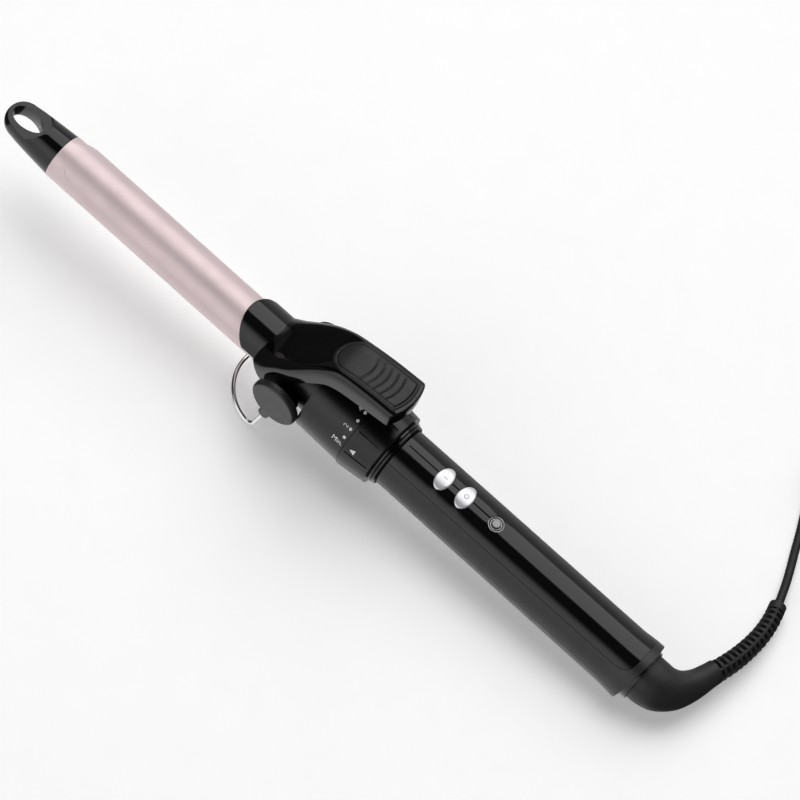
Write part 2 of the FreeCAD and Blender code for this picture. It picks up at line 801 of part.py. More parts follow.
path = wire_path()
start_point = stand_point(root_out, -half_bow)
run = Vector(stand_point(1, 0) - stand_point(0, 0))
section = Part.Wire([Part.Circle(start_point, run, float(wire_rad)).toShape()])
stand_wire = path.makePipeShell([section], True, False)
hubs = Part.makeCompound([stand_hub(-1), stand_hub(1)])
socket_rods = []
for side in (-1, 1):
    base = stand_point(root_out, side * half_bow)
    socket_rods.append(Part.makeCylinder(float(wire_rad), 8, base, run))
named(shaped("hub_shape", hubs.cut(socket_rods)), "stand_hubs")
named(shaped("wire_shape", stand_wire), "stand_wire")

# ---- scale housing, dial and bead -------------------------------------------------

house_back = house_front + house_len
house_in = house_rad - house_wall
housing = turned("housing", [
    (house_front, base_out + run_gap), (house_front, house_rad - dial_lead),
    (house_back, house_rad), (house_back, core_rad + fit_gap),
    (house_back - house_wall, core_rad + fit_gap), (house_back - house_wall, house_in),
    (house_front + house_wall, house_in), (house_front + house_wall, base_out + run_gap),
])
named(housing, "scale_housing")

# The core is the fixed tube that joins housing and handle; the dial turns on it.
core_front = house_back - core_lip
core_back = handle_front + core_lip
core_in = core_rad - core_wall
handle_bore = handle_rad - handle_wall
core_tail = handle_bore - fit_gap
core_tube = turned("core_tube", [
    (core_front, core_in - 1), (core_front, core_rad), (handle_front, core_rad),
    (handle_front, core_tail), (core_back, core_tail), (core_back, core_tail - core_wall),
    (handle_front, core_tail - core_wall), (handle_front - 1, core_in - 1),
])
slot_len = cell("slot_len", 2.6)
slot_place = dial_front + dial_len / 2
slot = rod(house_rad, slot_len, slot_place - slot_len / 2, 0, 0, "x")
slot_angle = dial_sweep + lug_angle + 4
slot.setExpression("Angle", slot_angle.formula)
doc.recompute()
slot_turn = Rotation(Vector(1, 0, 0), -float(dial_sweep) - float(lug_angle) / 2 - 2)
slot.Placement = Placement(slot.Placement.Base, slot_turn.multiply(TURNS["x"]))
put(slot, slot_place - slot_len / 2, 0, 0)
named(less(core_tube, slot), "dial_core")

dial_rad = house_rad + dial_lead
dial_bore = core_rad + fit_gap * 2
dial_ring = turned("dial_ring_turned", [
    (dial_front, dial_bore), (dial_front, dial_rad), (dial_back, dial_rad - dial_taper),
    (dial_back, dial_bore),
])
doc.recompute()
rib = sketch_on(dial_ring, "XY_Plane")
rib_half = 0.3
polygon(rib, [(dial_front + 1.2, -rib_half), (dial_back - 1.2, -rib_half),
              (dial_back - 1.2, rib_half), (dial_front + 1.2, rib_half)])
rib.AttachmentOffset = Placement(Vector(0, 0, float(dial_rad - dial_taper) - 0.5), Rotation())
rib_level = dial_rad - dial_taper - 0.5
rib.setExpression("AttachmentOffset.Base.z", rib_level.formula)
rib_cut = dial_ring.newObject("PartDesign::Pocket", "rib_cut")
rib_cut.Profile = rib
rib_cut.Type = "ThroughAll"
rib_cut.Reversed = True
doc.recompute()
rib_ring = dial_ring.newObject("PartDesign::PolarPattern", "rib_ring")
rib_ring.Originals = [rib_cut]
rib_ring.Axis = (origin_piece(dial_ring, "X_Axis"), [""])
rib_ring.Angle = 360
rib_ring.setExpression("Occurrences", dial_ribs.formula)
dial_ring.Tip = rib_ring
lug_wide = 1.6
lug_deep = float(dial_bore - core_in) + 1.4
lug = Part.makeBox(float(slot_len) - 0.6, lug_wide, lug_deep,
                   Vector(float(slot_place - slot_len / 2) + 0.3, -lug_wide / 2,
                          -float(dial_bore) - 0.3))
named(fused([dial_ring, shaped("lug", lug)]), "temperature_dial")

# Inside the core a ring-shaped resistance track is read by the dial's lug.
track_out = core_in - 1.6
track_front = slot_place - slot_len / 2 - 2
track = turned("track", [
    (track_front, track_out - 4), (track_front, core_in - 1 - fit_gap),
    (track_front + 1.2, core_in - 1 - fit_gap), (track_front + 1.2, track_out - 4),
])
named(track, "dial_track")

bead = turned("bead", [
    (bead_front, core_rad + fit_gap), (bead_front, bead_rad - 0.4), (bead_front + 0.5, bead_rad),
    (bead_front + 1.2, bead_rad), (bead_front + 1.5, bead_rad - 0.5),
    (bead_front + 1.8, bead_rad - 0.3), (handle_front - 0.5, bead_rad - 0.4),
    (handle_front, bead_rad - 0.7), (handle_front, core_rad + fit_gap),
])
named(bead, "bead_ring")

# ---- handle -----------------------------------------------------------------------

swell_rad = handle_rad + handle_swell
flare_rad = swell_rad + flare_rise
flare_front = handle_back - flare_len


def handle_tube(name):
    return turned(name, [
        (handle_front, handle_bore), (handle_front, handle_rad - 0.3),
        (handle_front + 0.4, handle_rad), (flare_front, swell_rad),
        (handle_back - 2, flare_rad), (handle_back + 2.5, flare_rad),
        (handle_back + 2.5, handle_bore),
    ])


def slant_cut(at, rest):
    """Everything behind the handle's slanted end, moved back by an amount."""
    slope = math.radians(float(end_slant))
    top = Vector(float(at) + rest + 30 * math.sin(slope), -30, 30)
    foot = Vector(float(at) + rest - 30 * math.sin(slope), -30, -30)
    back = Vector(float(at) + 60, -30, -30)
    back_top = Vector(float(at) + 60, -30, 30)
    face = Part.Face(Part.makePolygon([top, foot, back, back_top, top]))
    return face.extrude(Vector(0, 60, 0))


half_height = handle_rad * 2
trim_len = handle_len + 10
trim_wide = handle_rad * 4
lower_half = less(handle_tube("lower_tube"),
                  block(trim_len, trim_wide, half_height, handle_front - 1,
                        -(trim_wide / 2), -(seam_gap / 2)))
upper_half = less(handle_tube("upper_tube"),
                  block(trim_len, trim_wide, half_height, handle_front - 1,
                        -(trim_wide / 2), seam_gap / 2 - half_height))


def panel_plan(extra):
    """Plan of the glossy panel: straight sides and a rounded rear end."""
    half = float(panel_wide) / 2 + extra
    start = float(handle_front) - 2
    bend = float(handle_front + panel_straight)
    tip_x = bend + float(panel_nose) + extra
    near = Vector(bend, -half, 0)
    far = Vector(bend, half, 0)
    poles = [near, Vector(tip_x - 0.5, -half, 0), Vector(tip_x, -half * 0.5, 0),
             Vector(tip_x, half * 0.5, 0), Vector(tip_x - 0.5, half, 0), far]
    nose_curve = Part.BSplineCurve()
    nose_curve.buildFromPoles(poles, False, 3)
    wire = Part.Wire([
        Part.LineSegment(Vector(start, -half, 0), near).toShape(), nose_curve.toShape(),
        Part.LineSegment(far, Vector(start, half, 0)).toShape(),
        Part.LineSegment(Vector(start, half, 0), Vector(start, -half, 0)).toShape(),
    ])
    return Part.Face(wire).extrude(Vector(0, 0, 40))


def oval(x, length, width, bottom, height):
    """A standing prism on a lemon-shaped oval."""
    half = width / 2
    tips = [Vector(x, -half, bottom), Vector(x, half, bottom)]
    sides = [Vector(x - length / 2, 0, bottom), Vector(x + length / 2, 0, bottom)]
    wire = Part.Wire([Part.Arc(tips[0], sides[0], tips[1]).toShape(),
                      Part.Arc(tips[1], sides[1], tips[0]).toShape()])
    return Part.Face(wire).extrude(Vector(0, 0, height))


button_places = [handle_front + button_first, handle_front + button_first + button_pitch]
lamp_x = handle_front + lamp_place
panel_holes = []
for place in button_places:
    room = float(button_gap) * 2
    panel_holes.append(oval(float(place), float(button_len) + room, float(button_wide) + room * 1.6,
                            0, 30))
panel_holes.append(Part.makeCylinder(float(lamp_rad + fit_gap), 30, Vector(float(lamp_x), 0, 0),
                                     Vector(0, 0, 1)))
dish_level = float(handle_rad - dish_deep)
panel_holes.append(Part.makeCylinder(float(lamp_dish), 30, Vector(float(lamp_x), 0, dish_level),
                                     Vector(0, 0, 1)))
groove_from = float(handle_front) + 2
groove_to = float(lamp_x - lamp_dish)
panel_holes.append(Part.makeBox(groove_to - groove_from, float(groove_wide), 10,
                                Vector(groove_from, -float(groove_wide) / 2,
                                       float(handle_rad - groove_deep))))

boss_places = [handle_front + screw_first, handle_front + screw_second]
screw_foot = -(handle_bore + screw_sink)
posts = []
upper_posts = []
screw_shafts = []
head_rooms = []
for place in boss_places:
    posts.append(rod(boss_wide, handle_bore + board_level - fit_gap, place, 0,
                     fit_gap - handle_bore, "z"))
    upper_posts.append(rod(post_rad, handle_bore - board_level + groove_deep, place, 0,
                           board_level + seam_gap, "z"))
    screw_shafts.append(rod(screw_rad, screw_len, place, 0, screw_foot, "z"))
    head_rooms.append(rod(screw_head, half_height, place, 0, screw_foot - half_height, "z"))
screw_rooms = together(screw_shafts + head_rooms)
lower_tool = shaped("lower_slant", slant_cut(handle_back, 0))
lower_union = fused([less(lower_half, lower_tool)] + posts)
named(less(lower_union, screw_rooms), "handle_shell_lower")
head_tall = board_thick * 0.8
screws = []
for place in boss_places:
    shaft = rod(screw_rad, screw_len, place, 0, screw_foot, "z")
    head = rod(screw_head - 0.1, head_tall, place, 0, screw_foot - head_tall, "z")
    screws.append(fused([shaft, head]))
named(together(screws), "case_screws")

upper_tool = shaped("upper_slant", slant_cut(handle_back, 0).fuse(panel_plan(0)))
named(less(upper_half, upper_tool), "handle_shell_upper")
panel_tube = handle_tube("panel_tube")
panel_stock = shared(panel_tube, shaped("panel_plan", panel_plan(-float(seam_gap))))
panel_screws = [rod(screw_rad, screw_len, place, 0, screw_foot, "z") for place in boss_places]
panel_solid = less(fused([panel_stock] + upper_posts), together(panel_screws))
for room in [slant_cut(handle_back, -0.6)] + panel_holes:
    panel_solid = less(panel_solid, shaped("panel_room", room))
named(panel_solid, "button_panel")

# ---- buttons, switches, lamp and board -------------------------------------------

plunger_end = board_top + switch_tall - stem_dip
for label, place in zip(("power_on_button", "power_off_button"), button_places):
    crown = Part.makeCylinder(float(handle_rad + button_proud), 30,
                              Vector(float(place) - 15, 0, 0), Vector(1, 0, 0))
    cap_bottom = float(handle_rad) - 3.2
    cap = oval(float(place), float(button_len), float(button_wide), cap_bottom, 10)
    cap = cap.common(crown)
    stem = Part.makeCylinder(float(stem_rad), cap_bottom + 0.5 - float(plunger_end),
                             Vector(float(place), 0, float(plunger_end)), Vector(0, 0, 1))
    named(shaped("button_shape", cap.fuse(stem).removeSplitter()), label)

switch_blocks = []
for place in button_places:
    body = block(switch_side, switch_side, switch_tall, place - switch_side / 2,
                 -(switch_side / 2), board_top)
    well = rod(stem_rad + run_gap, switch_tall, place, 0, plunger_end - 1.1, "z")
    switch_blocks.append(less(body, well))
named(together(switch_blocks), "tact_switches")

lamp_top = handle_rad + 0.25
lens_foot = handle_bore - 1
lens = fused([
    rod(lamp_rad, lamp_top - lens_foot, lamp_x, 0, lens_foot, "z"),
    rod(lamp_rad + 0.7, handle_bore - lens_foot - 0.2, lamp_x, 0, lens_foot, "z"),
])
named(lens, "lamp_lens")
named(together([rod(lamp_rad, lens_foot - run_gap - board_top, lamp_x, 0, board_top, "z")]),
      "lamp_led")

board = block(board_len, board_wide, board_thick, board_front, -(board_wide / 2), board_level)
board_holes = [rod(post_rad + run_gap, board_thick * 3, place, 0, board_level - board_thick, "z")
               for place in boss_places]
named(less(board, together(board_holes)), "circuit_board")
triac = block(switch_side * 1.6, switch_side * 1.5, switch_tall, lamp_x + 14, -(switch_side * 0.75),
              board_top)
chip = block(switch_side * 1.2, switch_side * 0.8, board_thick, lamp_x + 30,
             -(switch_side * 0.4), board_top)
capacitor = rod(switch_side * 0.6, switch_side * 1.8, lamp_x + 4, 0, board_level - switch_side * 0.6,
                "x")
named(together([triac, chip, capacitor]), "board_components")

# ---- swivel and cord exit ---------------------------------------------------------

socket_front = handle_back - 9
socket_bore = spindle_rad + fit_gap
cup = turned("cup", [
    (socket_front, socket_bore), (socket_front, handle_bore - fit_gap),
    (handle_back + 1.8, handle_bore - fit_gap), (handle_back + 2.6, handle_bore - fit_gap),
    (ring_back + 0.2, handle_bore - fit_gap - 0.6), (ring_back + 0.2, socket_bore + 3),
    (socket_front + socket_wall, socket_bore + 3), (socket_front + socket_wall, socket_bore),
])
named(cup, "swivel_socket")

spindle_front = ring_back - spindle_len
spindle = turned("spindle", [
    (spindle_front, cord_rad + 0.3), (spindle_front, spindle_rad),
    (neck_front, spindle_rad), (neck_front, cord_rad + 0.3),
])
keeper = turned("keeper", [
    (socket_front - run_gap - 1.6, spindle_rad + fit_gap),
    (socket_front - run_gap - 1.6, flange_rad),
    (socket_front - run_gap, flange_rad), (socket_front - run_gap, spindle_rad + fit_gap),
])
named(keeper, "swivel_keeper")
elbow_sections = [
    (float(neck_front), 0.0, float(neck_rad), 0),
    (float(neck_front) + 0.45 * float(neck_len), 0.15, float(neck_rad) * 0.985, 2),
    (float(neck_front + neck_len), 0.9, float(neck_rad) * 0.93, 10),
    (float(neck_front) + 12.2, 5.9, float(neck_rad) * 0.74, 32),
    (float(neck_front) + 16.6, 15.6, float(outlet_rad), 62),
]
rings = []
for x, y, radius, turn in elbow_sections:
    facing = Vector(math.cos(math.radians(turn)), math.sin(math.radians(turn)), 0)
    rings.append(Part.Wire([Part.Circle(Vector(x, y, 0), facing, radius).toShape()]))
elbow = Part.makeLoft(rings, True, False)
cord_bore = Part.makeCylinder(float(cord_rad) + 0.3, 6, Vector(float(neck_front) - 0.01, 0, 0),
                              Vector(1, 0, 0))
named(fused([shaped("elbow_shape", elbow.cut(cord_bore)), spindle]), "swivel_elbow")

slip_places = [spindle_front + 0.8, spindle_front + 3.6]
slips = [turned("slip_ring", [
    (place, spindle_rad + fit_gap), (place, slip_rad), (place + slip_len, slip_rad),
    (place + slip_len, spindle_rad + fit_gap),
]) for place in slip_places]
named(together(slips), "slip_rings")
brush_len = handle_bore - slip_rad - 0.2
brushes = [block(slip_len, slip_len * 1.5, brush_len, place, -(slip_len * 0.75),
                 -(slip_rad + 0.1) - brush_len) for place in slip_places]
named(together(brushes), "slip_brushes")
board_back = board_front + board_len
supply = []
for side, place in zip((-1, 1), slip_places):
    sideways = side * (float(slip_len) * 0.75 + float(lead_rad))
    solder = Vector(float(board_back) - 1.5, sideways, float(board_level - lead_rad) - 0.2)
    brush = Vector(float(place + slip_len / 2), sideways, -float(slip_rad) - 3.2)
    run = brush - solder
    supply.append(Part.makeCylinder(float(lead_rad), run.Length, solder, run))
named(shaped("supply_shape", Part.makeCompound(supply)), "supply_leads")

relief_points = [
    Vector(float(neck_front) + 16.6, 15.6, 0), Vector(float(neck_front) + 19.2, 24.6, -0.7),
    Vector(float(neck_front) + 20.9, 35.2, -2.2), Vector(float(neck_front) + 21.3, 46.6, -3.9),
    Vector(float(neck_front) + 20.2, 55.8, -5.2), Vector(float(neck_front) + 18.2, 63.4, -6.2),
]
relief_line = Part.BSplineCurve()
relief_line.interpolate(relief_points)
relief_rings = []
ring_count = 9
for step in range(ring_count + 1):
    share = step / ring_count
    place = relief_line.parameterAtDistance(share * relief_line.length())
    radius = float(outlet_rad) + (float(relief_tip) - float(outlet_rad)) * share
    relief_rings.append(Part.Wire([Part.Circle(relief_line.value(place),
                                               relief_line.tangent(place)[0], radius).toShape()]))
named(shaped("relief_shape", Part.makeLoft(relief_rings, True, False)), "strain_relief")
relief_end = relief_line.value(relief_line.LastParameter)
relief_run = relief_line.tangent(relief_line.LastParameter)[0]

doc.recompute()

# ---- standing on the table --------------------------------------------------------

lifted = Placement(Vector(0, 0, -heel_point.z), tilted)
box = FreeCAD.BoundBox()
for part in parts:
    if part.Label != "strain_relief":
        shape = part.Shape.copy()
        shape.transformShape(lifted.toMatrix(), True)
        box.add(shape.optimalBoundingBox(False, False))
stance = Placement(Vector(-box.Center.x, -box.Center.y, -box.ZMin - heel_point.z), tilted)
for part in parts:
    part.Placement = stance

# ---- cord, put-away coil and plug ------------------------------------------------
# These lie on the table, so they are placed in the table's axes: Z is the height over it.

cord_start = stance.multVec(relief_end)
cord_heading = tilted.multVec(relief_run)
cord_first = cord_start + cord_heading * 8
CORD_POINTS = [
    (163.2, 79.4, 2.8), (159.3, 87.8, 1.9), (155.2, 97.2, 1.7), (149.4, 108.6, 1.7),
    (143.3, 119.6, 1.7), (139.3, 131.0, 1.7),
]
COIL_PLACE = Vector(164.3, 134.7, 0)
TAIL_POINTS = [
    (159.9, 159.8, 10.9), (171.5, 160.6, 10.5), (183.4, 158.4, 9.3), (193.6, 152.0, 8.0),
    (200.4, 142.6, 7.1), (202.9, 131.6, 7.0),
]
ARC_SHARE = 0.45


def lying_tube(label, points, radius):
    """A tube of straight runs joined by tangent arcs as large as the runs allow."""
    edges = []
    here = points[0]
    for before, corner, after in zip(points, points[1:], points[2:]):
        come = (corner - before).normalize()
        go = (after - corner).normalize()
        turn = come.getAngle(go)
        shorter = min((corner - before).Length, (after - corner).Length)
        back = ARC_SHARE * shorter
        bend = back / math.tan(turn / 2)
        print(f"{label}: arc radius {bend:.1f} at {corner}")
        enter = corner - come * back
        leave = corner + go * back
        inward = (go - come).normalize()
        crown = corner + inward * (math.hypot(bend, back) - bend)
        edges.append(Part.LineSegment(here, enter).toShape())
        edges.append(Part.Arc(enter, crown, leave).toShape())
        here = leave
    edges.append(Part.LineSegment(here, points[-1]).toShape())
    line = Part.Wire(edges)
    ring = Part.Wire([Part.Circle(points[0], points[1] - points[0], radius).toShape()])
    tube = line.makePipeShell([ring], True, False)
    whole = line.Length * math.pi * radius ** 2
    print(f"{label}: length {line.Length:.1f}, volume {tube.Volume:.1f} of {whole:.1f}")
    named(shaped(label, tube), label)


cord_route = [cord_start, cord_first] + [Vector(*point) for point in CORD_POINTS]
lying_tube("cord_tube", cord_route, float(cord_rad))
tail_route = [Vector(*point) for point in TAIL_POINTS]
lying_tube("cord_tail", tail_route, float(cord_rad))

coil = Part.makeCylinder(float(coil_out), float(coil_tall), COIL_PLACE)
coil = coil.cut(Part.makeCylinder(float(coil_in), float(coil_tall), COIL_PLACE))
coil = coil.makeFillet(float(coil_round), [edge for edge in coil.Edges if edge.isClosed()])
named(shaped("coil", coil), "cord_coil")

plug_line = (tail_route[-1] - tail_route[-2]).normalize()
plug_line.z = 0
plug_line.normalize()
plug_start = tail_route[-1]
plug_across = Vector(-plug_line.y, plug_line.x, 0)


def plug_point(along, across, level=0.0):
    return plug_start + plug_line * along + plug_across * across + Vector(0, 0, level)


half_plug = float(plug_wide) / 2
relief_len = float(plug_relief)
plug_end = relief_len + float(plug_long)
sides = [(relief_len - 4, 5.5), (relief_len + 3, 8.5), (relief_len + 13, half_plug),
         (plug_end, half_plug)]
outline = sides + [(along, -across) for along, across in sides[::-1]]
corners = [plug_point(along, across, -float(plug_thick) / 2) for along, across in outline]
plug_face = Part.Face(Part.makePolygon(corners + corners[:1]))
plug_body = plug_face.extrude(Vector(0, 0, float(plug_thick)))
tall_edges = [edge for edge in plug_body.Edges if edge.BoundBox.ZLength > float(plug_thick) - 0.1]
plug_body = plug_body.makeFillet(1.6, tall_edges)
sleeve_cone = Part.makeCone(float(cord_rad) + 0.9, float(plug_root), relief_len,
                            plug_start, plug_line)
plug_body = plug_body.fuse(sleeve_cone).removeSplitter()
named(shaped("plug", plug_body), "plug_body")
prongs = [Part.makeCylinder(float(prong_rad), float(prong_len), plug_point(plug_end, across),
                            plug_line)
          for across in (-float(prong_pitch) / 2, float(prong_pitch) / 2)]
named(shaped("prongs", Part.makeCompound(prongs)), "plug_prongs")

print("tilt", tilt_angle, "box", box)
print("stance", stance)
print("relief end", cord_start, cord_heading)
print("pivot", stance.multVec(Vector(px, 0, 0)))

doc.recompute()

# ---- checks and export ------------------------------------------------------------

for item in doc.Objects:
    if "Invalid" in item.State or "Error" in item.State:
        raise RuntimeError(f"{item.Name} {item.Label} failed: {item.State}")
for part in parts:
    if part.Shape.isNull() or not part.Shape.isValid() or not part.Shape.Solids:
        raise RuntimeError(f"{part.Label} has no valid solid")
    print(part.Label, len(part.Shape.Solids), round(part.Shape.Volume, 1))
os.makedirs("parts", exist_ok=True)
for part in parts:
    part.Shape.exportStep(f"parts/{part.Label}.step")
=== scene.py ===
import bpy
import json
import math
from mathutils import Matrix, Vector


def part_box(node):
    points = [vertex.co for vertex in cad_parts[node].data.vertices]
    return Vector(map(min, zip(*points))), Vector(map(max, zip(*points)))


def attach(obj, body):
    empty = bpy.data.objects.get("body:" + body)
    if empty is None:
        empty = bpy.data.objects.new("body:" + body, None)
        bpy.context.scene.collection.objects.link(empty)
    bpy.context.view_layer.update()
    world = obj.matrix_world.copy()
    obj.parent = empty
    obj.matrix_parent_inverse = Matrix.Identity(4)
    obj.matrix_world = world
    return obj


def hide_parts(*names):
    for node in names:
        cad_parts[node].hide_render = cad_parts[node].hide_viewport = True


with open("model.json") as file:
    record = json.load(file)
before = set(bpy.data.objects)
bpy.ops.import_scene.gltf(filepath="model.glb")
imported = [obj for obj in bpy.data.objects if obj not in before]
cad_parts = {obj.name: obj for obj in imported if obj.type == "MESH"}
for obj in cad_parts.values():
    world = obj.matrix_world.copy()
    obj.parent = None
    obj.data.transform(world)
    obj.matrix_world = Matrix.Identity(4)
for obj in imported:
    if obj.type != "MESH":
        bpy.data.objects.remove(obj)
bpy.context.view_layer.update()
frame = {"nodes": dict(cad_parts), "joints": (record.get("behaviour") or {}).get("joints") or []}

nodes = frame["nodes"]
joints = {joint["name"]: joint for joint in frame["joints"]}

# ---- Barrel and clip ------------------------------------------------------------------
# A drawn aluminium tube and a curved steel clip plate, both sprayed with the same rose
# ceramic coating and fired: a satin metal with a fine, even grain.


def new_surface(name):
    """A new material, its node tree and its main shader."""
    material = bpy.data.materials.new(name)
    material.use_nodes = True
    return material, material.node_tree, material.node_tree.nodes["Principled BSDF"]


def speckle(tree, scale, detail=2.0):
    """Fine noise fixed to the piece."""
    place = tree.nodes.new("ShaderNodeTexCoord")
    noise = tree.nodes.new("ShaderNodeTexNoise")
    noise.inputs["Scale"].default_value = scale
    noise.inputs["Detail"].default_value = detail
    tree.links.new(place.outputs["Object"], noise.inputs["Vector"])
    return noise.outputs["Fac"]


NOISE_LOW = 0.3
NOISE_HIGH = 0.7


def spread(tree, source, low, high):
    """Maps the middle of a noise's range to the range from low to high."""
    ranged = tree.nodes.new("ShaderNodeMapRange")
    ranged.inputs["From Min"].default_value = NOISE_LOW
    ranged.inputs["From Max"].default_value = NOISE_HIGH
    ranged.inputs["To Min"].default_value = low
    ranged.inputs["To Max"].default_value = high
    tree.links.new(source, ranged.inputs["Value"])
    return ranged.outputs["Result"]


CLOUD_SCALE = 90
WEAR_SCALE = 260
GRAIN_RISE = 0.0002


def finish_of(name, colour, rough, grain=2500, depth=0.05, metal=0.0, shade=0.12, wear=0.12):
    """A surface with its own colour drift, uneven gloss and a fine raised grain."""
    material, tree, shader = new_surface(name)
    mix = tree.nodes.new("ShaderNodeMix")
    mix.data_type = "RGBA"
    mix.inputs["A"].default_value = (*[part * (1 - shade) for part in colour], 1)
    mix.inputs["B"].default_value = (*[min(1, part * (1 + shade)) for part in colour], 1)
    tree.links.new(spread(tree, speckle(tree, CLOUD_SCALE), 0, 1), mix.inputs["Factor"])
    tree.links.new(mix.outputs["Result"], shader.inputs["Base Color"])
    gloss = spread(tree, speckle(tree, WEAR_SCALE, 4), rough * (1 - wear), rough * (1 + wear))
    tree.links.new(gloss, shader.inputs["Roughness"])
    bump = tree.nodes.new("ShaderNodeBump")
    bump.inputs["Strength"].default_value = depth
    bump.inputs["Distance"].default_value = GRAIN_RISE
    tree.links.new(speckle(tree, grain, 3), bump.inputs["Height"])
    tree.links.new(bump.outputs["Normal"], shader.inputs["Normal"])
    shader.inputs["Metallic"].default_value = metal
    return material


def dress(name, material):
    """Gives a carried-over piece its finish."""
    piece = nodes[name]
    if not piece.material_slots:
        piece.data.materials.append(material)
    for slot in piece.material_slots:
        slot.material = material
    return piece


rose = finish_of("rose coating", (0.80, 0.65, 0.66), 0.40, 3200, 0.06, metal=0.35, shade=0.03)
dress("barrel_tube", rose)
dress("clip_plate", rose)

# ---- Cool tip -------------------------------------------------------------------------
# A gloss black heat-proof moulding plugged into the barrel. Pockets above and below leave a
# flat loop at its end, with an egg-shaped hole to hang the iron by.

gloss_black = finish_of("gloss black", (0.0022, 0.0022, 0.0024), 0.07, 700, 0.012)

along = Vector(joints["cord_swivel"]["axis"]).normalized()
if along.x < 0:
    along = -along
across = Vector((0, 1, 0))
upright = along.cross(across)
pivot = Vector(joints["clip_hinge"]["pos_m"])
PIVOT_X = 154
MILLI = 0.001


def on_iron(x, y, z):
    """A point given along, across and above the iron's own axis, in millimetres."""
    return pivot + (along * (x - PIVOT_X) + across * y + upright * z) * MILLI


def alone(piece):
    """Makes a piece the only one that is selected."""
    bpy.ops.object.select_all(action="DESELECT")
    piece.select_set(True)
    bpy.context.view_layer.objects.active = piece


def rod(vertices, radius, depth, rings=1):
    """A round bar about the upright axis, cut into rings along its length."""
    bpy.ops.object.select_all(action="DESELECT")
    bpy.ops.mesh.primitive_cylinder_add(vertices=vertices, radius=radius, depth=depth)
    piece = bpy.context.object
    if rings > 1:
        bpy.ops.object.mode_set(mode="EDIT")
        for ring in range(1, rings):
            level = depth * ring / rings - depth / 2
            bpy.ops.mesh.select_all(action="SELECT")
            bpy.ops.mesh.bisect(plane_co=(0, 0, level), plane_no=(0, 0, 1))
        bpy.ops.object.mode_set(mode="OBJECT")
    return piece


def drawn(piece, place):
    """Moves each corner of a piece to the point that place gives for it."""
    for corner in piece.data.vertices:
        corner.co = place(*corner.co)
    return piece


def round_rims(piece, width, segments=2):
    """Bevels every edge of a bar."""
    alone(piece)
    bpy.ops.object.mode_set(mode="EDIT")
    bpy.ops.mesh.select_all(action="SELECT")
    bpy.ops.mesh.bevel(offset=width, segments=segments)
    bpy.ops.object.mode_set(mode="OBJECT")
    return piece


def round_corners(piece, width, angle):
    """Rounds the edges that are sharper than an angle, and applies it."""
    bevel = piece.modifiers.new("edge", "BEVEL")
    bevel.width = width
    bevel.segments = 3
    bevel.limit_method = "ANGLE"
    bevel.angle_limit = math.radians(angle)
    bpy.ops.object.modifier_apply(modifier="edge")


MERGE = 0.000005


def tidy(piece, smooth=35):
    """Merges doubled corners, turns all faces outwards and smooths the soft ones."""
    alone(piece)
    bpy.ops.object.mode_set(mode="EDIT")
    bpy.ops.mesh.select_all(action="SELECT")
    bpy.ops.mesh.remove_doubles(threshold=MERGE)
    bpy.ops.mesh.normals_make_consistent(inside=False)
    bpy.ops.object.mode_set(mode="OBJECT")
    bpy.ops.object.shade_smooth_by_angle(angle=math.radians(smooth))
    piece.select_set(False)
    return piece


def joined(parts, name):
    """Joins like parts into one piece."""
    alone(parts[0])
    for part in parts:
        part.select_set(True)
    bpy.ops.object.join()
    parts[0].name = name
    parts[0].select_set(False)
    return parts[0]


def cast(piece, material, body):
    """Closes a new piece: its finish and the body that carries it."""
    piece.data.materials.clear()
    piece.data.materials.append(material)
    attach(piece, body)
    return piece


TIP_FRONT = 0.32
TIP_BACK = 28.4
LOOP_MIDDLE = 8.0
LOOP_REACH = 7.7
LOOP_HALF = 7.5
TIP_SWELL = 1.9
PLUG_RADIUS = 8.0
PLUG_LENGTH = 7
PLUG_PROUD = 2.5
TIP_EDGE = 0.00045
# Height, place, half length and half width of each pocket, and then of the hole.
POCKETS = [(11.6, 9.4, 10.4, 8.6), (-11.6, 9.4, 10.4, 8.6), (0, 9.6, 7.0, 4.1)]
POCKET_DEPTH = 16
EGG = 0.12


def tip_spot(a, b, c):
    """The tip swells from its rounded end to just under the barrel's radius."""
    x = TIP_FRONT + (TIP_BACK - TIP_FRONT) * ((c + 1) / 2) ** 2
    if x < LOOP_MIDDLE:
        radius = LOOP_HALF * math.sqrt(max(0.0, 1 - ((LOOP_MIDDLE - x) / LOOP_REACH) ** 2))
    else:
        radius = LOOP_HALF + TIP_SWELL * ((x - LOOP_MIDDLE) / (TIP_BACK - LOOP_MIDDLE)) ** 0.75
    return on_iron(x, a * radius, b * radius)


tip = tidy(drawn(rod(96, 1, 2, 40), tip_spot))
for level, middle, reach, half in POCKETS:
    egg = EGG if level == 0 else 0
    pocket = tidy(drawn(rod(96, 1, POCKET_DEPTH), lambda a, b, c: on_iron(
        middle + reach * a, half * (1 - egg * a) * b, level + c)))
    cutter = tip.modifiers.new("pocket", "BOOLEAN")
    cutter.operation = "DIFFERENCE"
    cutter.solver = "EXACT"
    cutter.object = pocket
    alone(tip)
    bpy.ops.object.modifier_apply(modifier="pocket")
    bpy.data.objects.remove(pocket)
alone(tip)
round_corners(tip, TIP_EDGE, 40)
plug = drawn(rod(64, PLUG_RADIUS, PLUG_LENGTH), lambda a, b, c: on_iron(
    TIP_BACK + PLUG_PROUD + c, a, b))
tip = tidy(joined([tip, plug], "cool_tip_loop"), 40)
cast(tip, gloss_black, "handle")
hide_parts("cool_tip")

# ---- Heater, inside the barrel --------------------------------------------------------
# A flat ceramic heater wrapped in amber film, clamped between two aluminium shoes, with a
# fuse and two sleeved leads that leave through a ceramic bush.

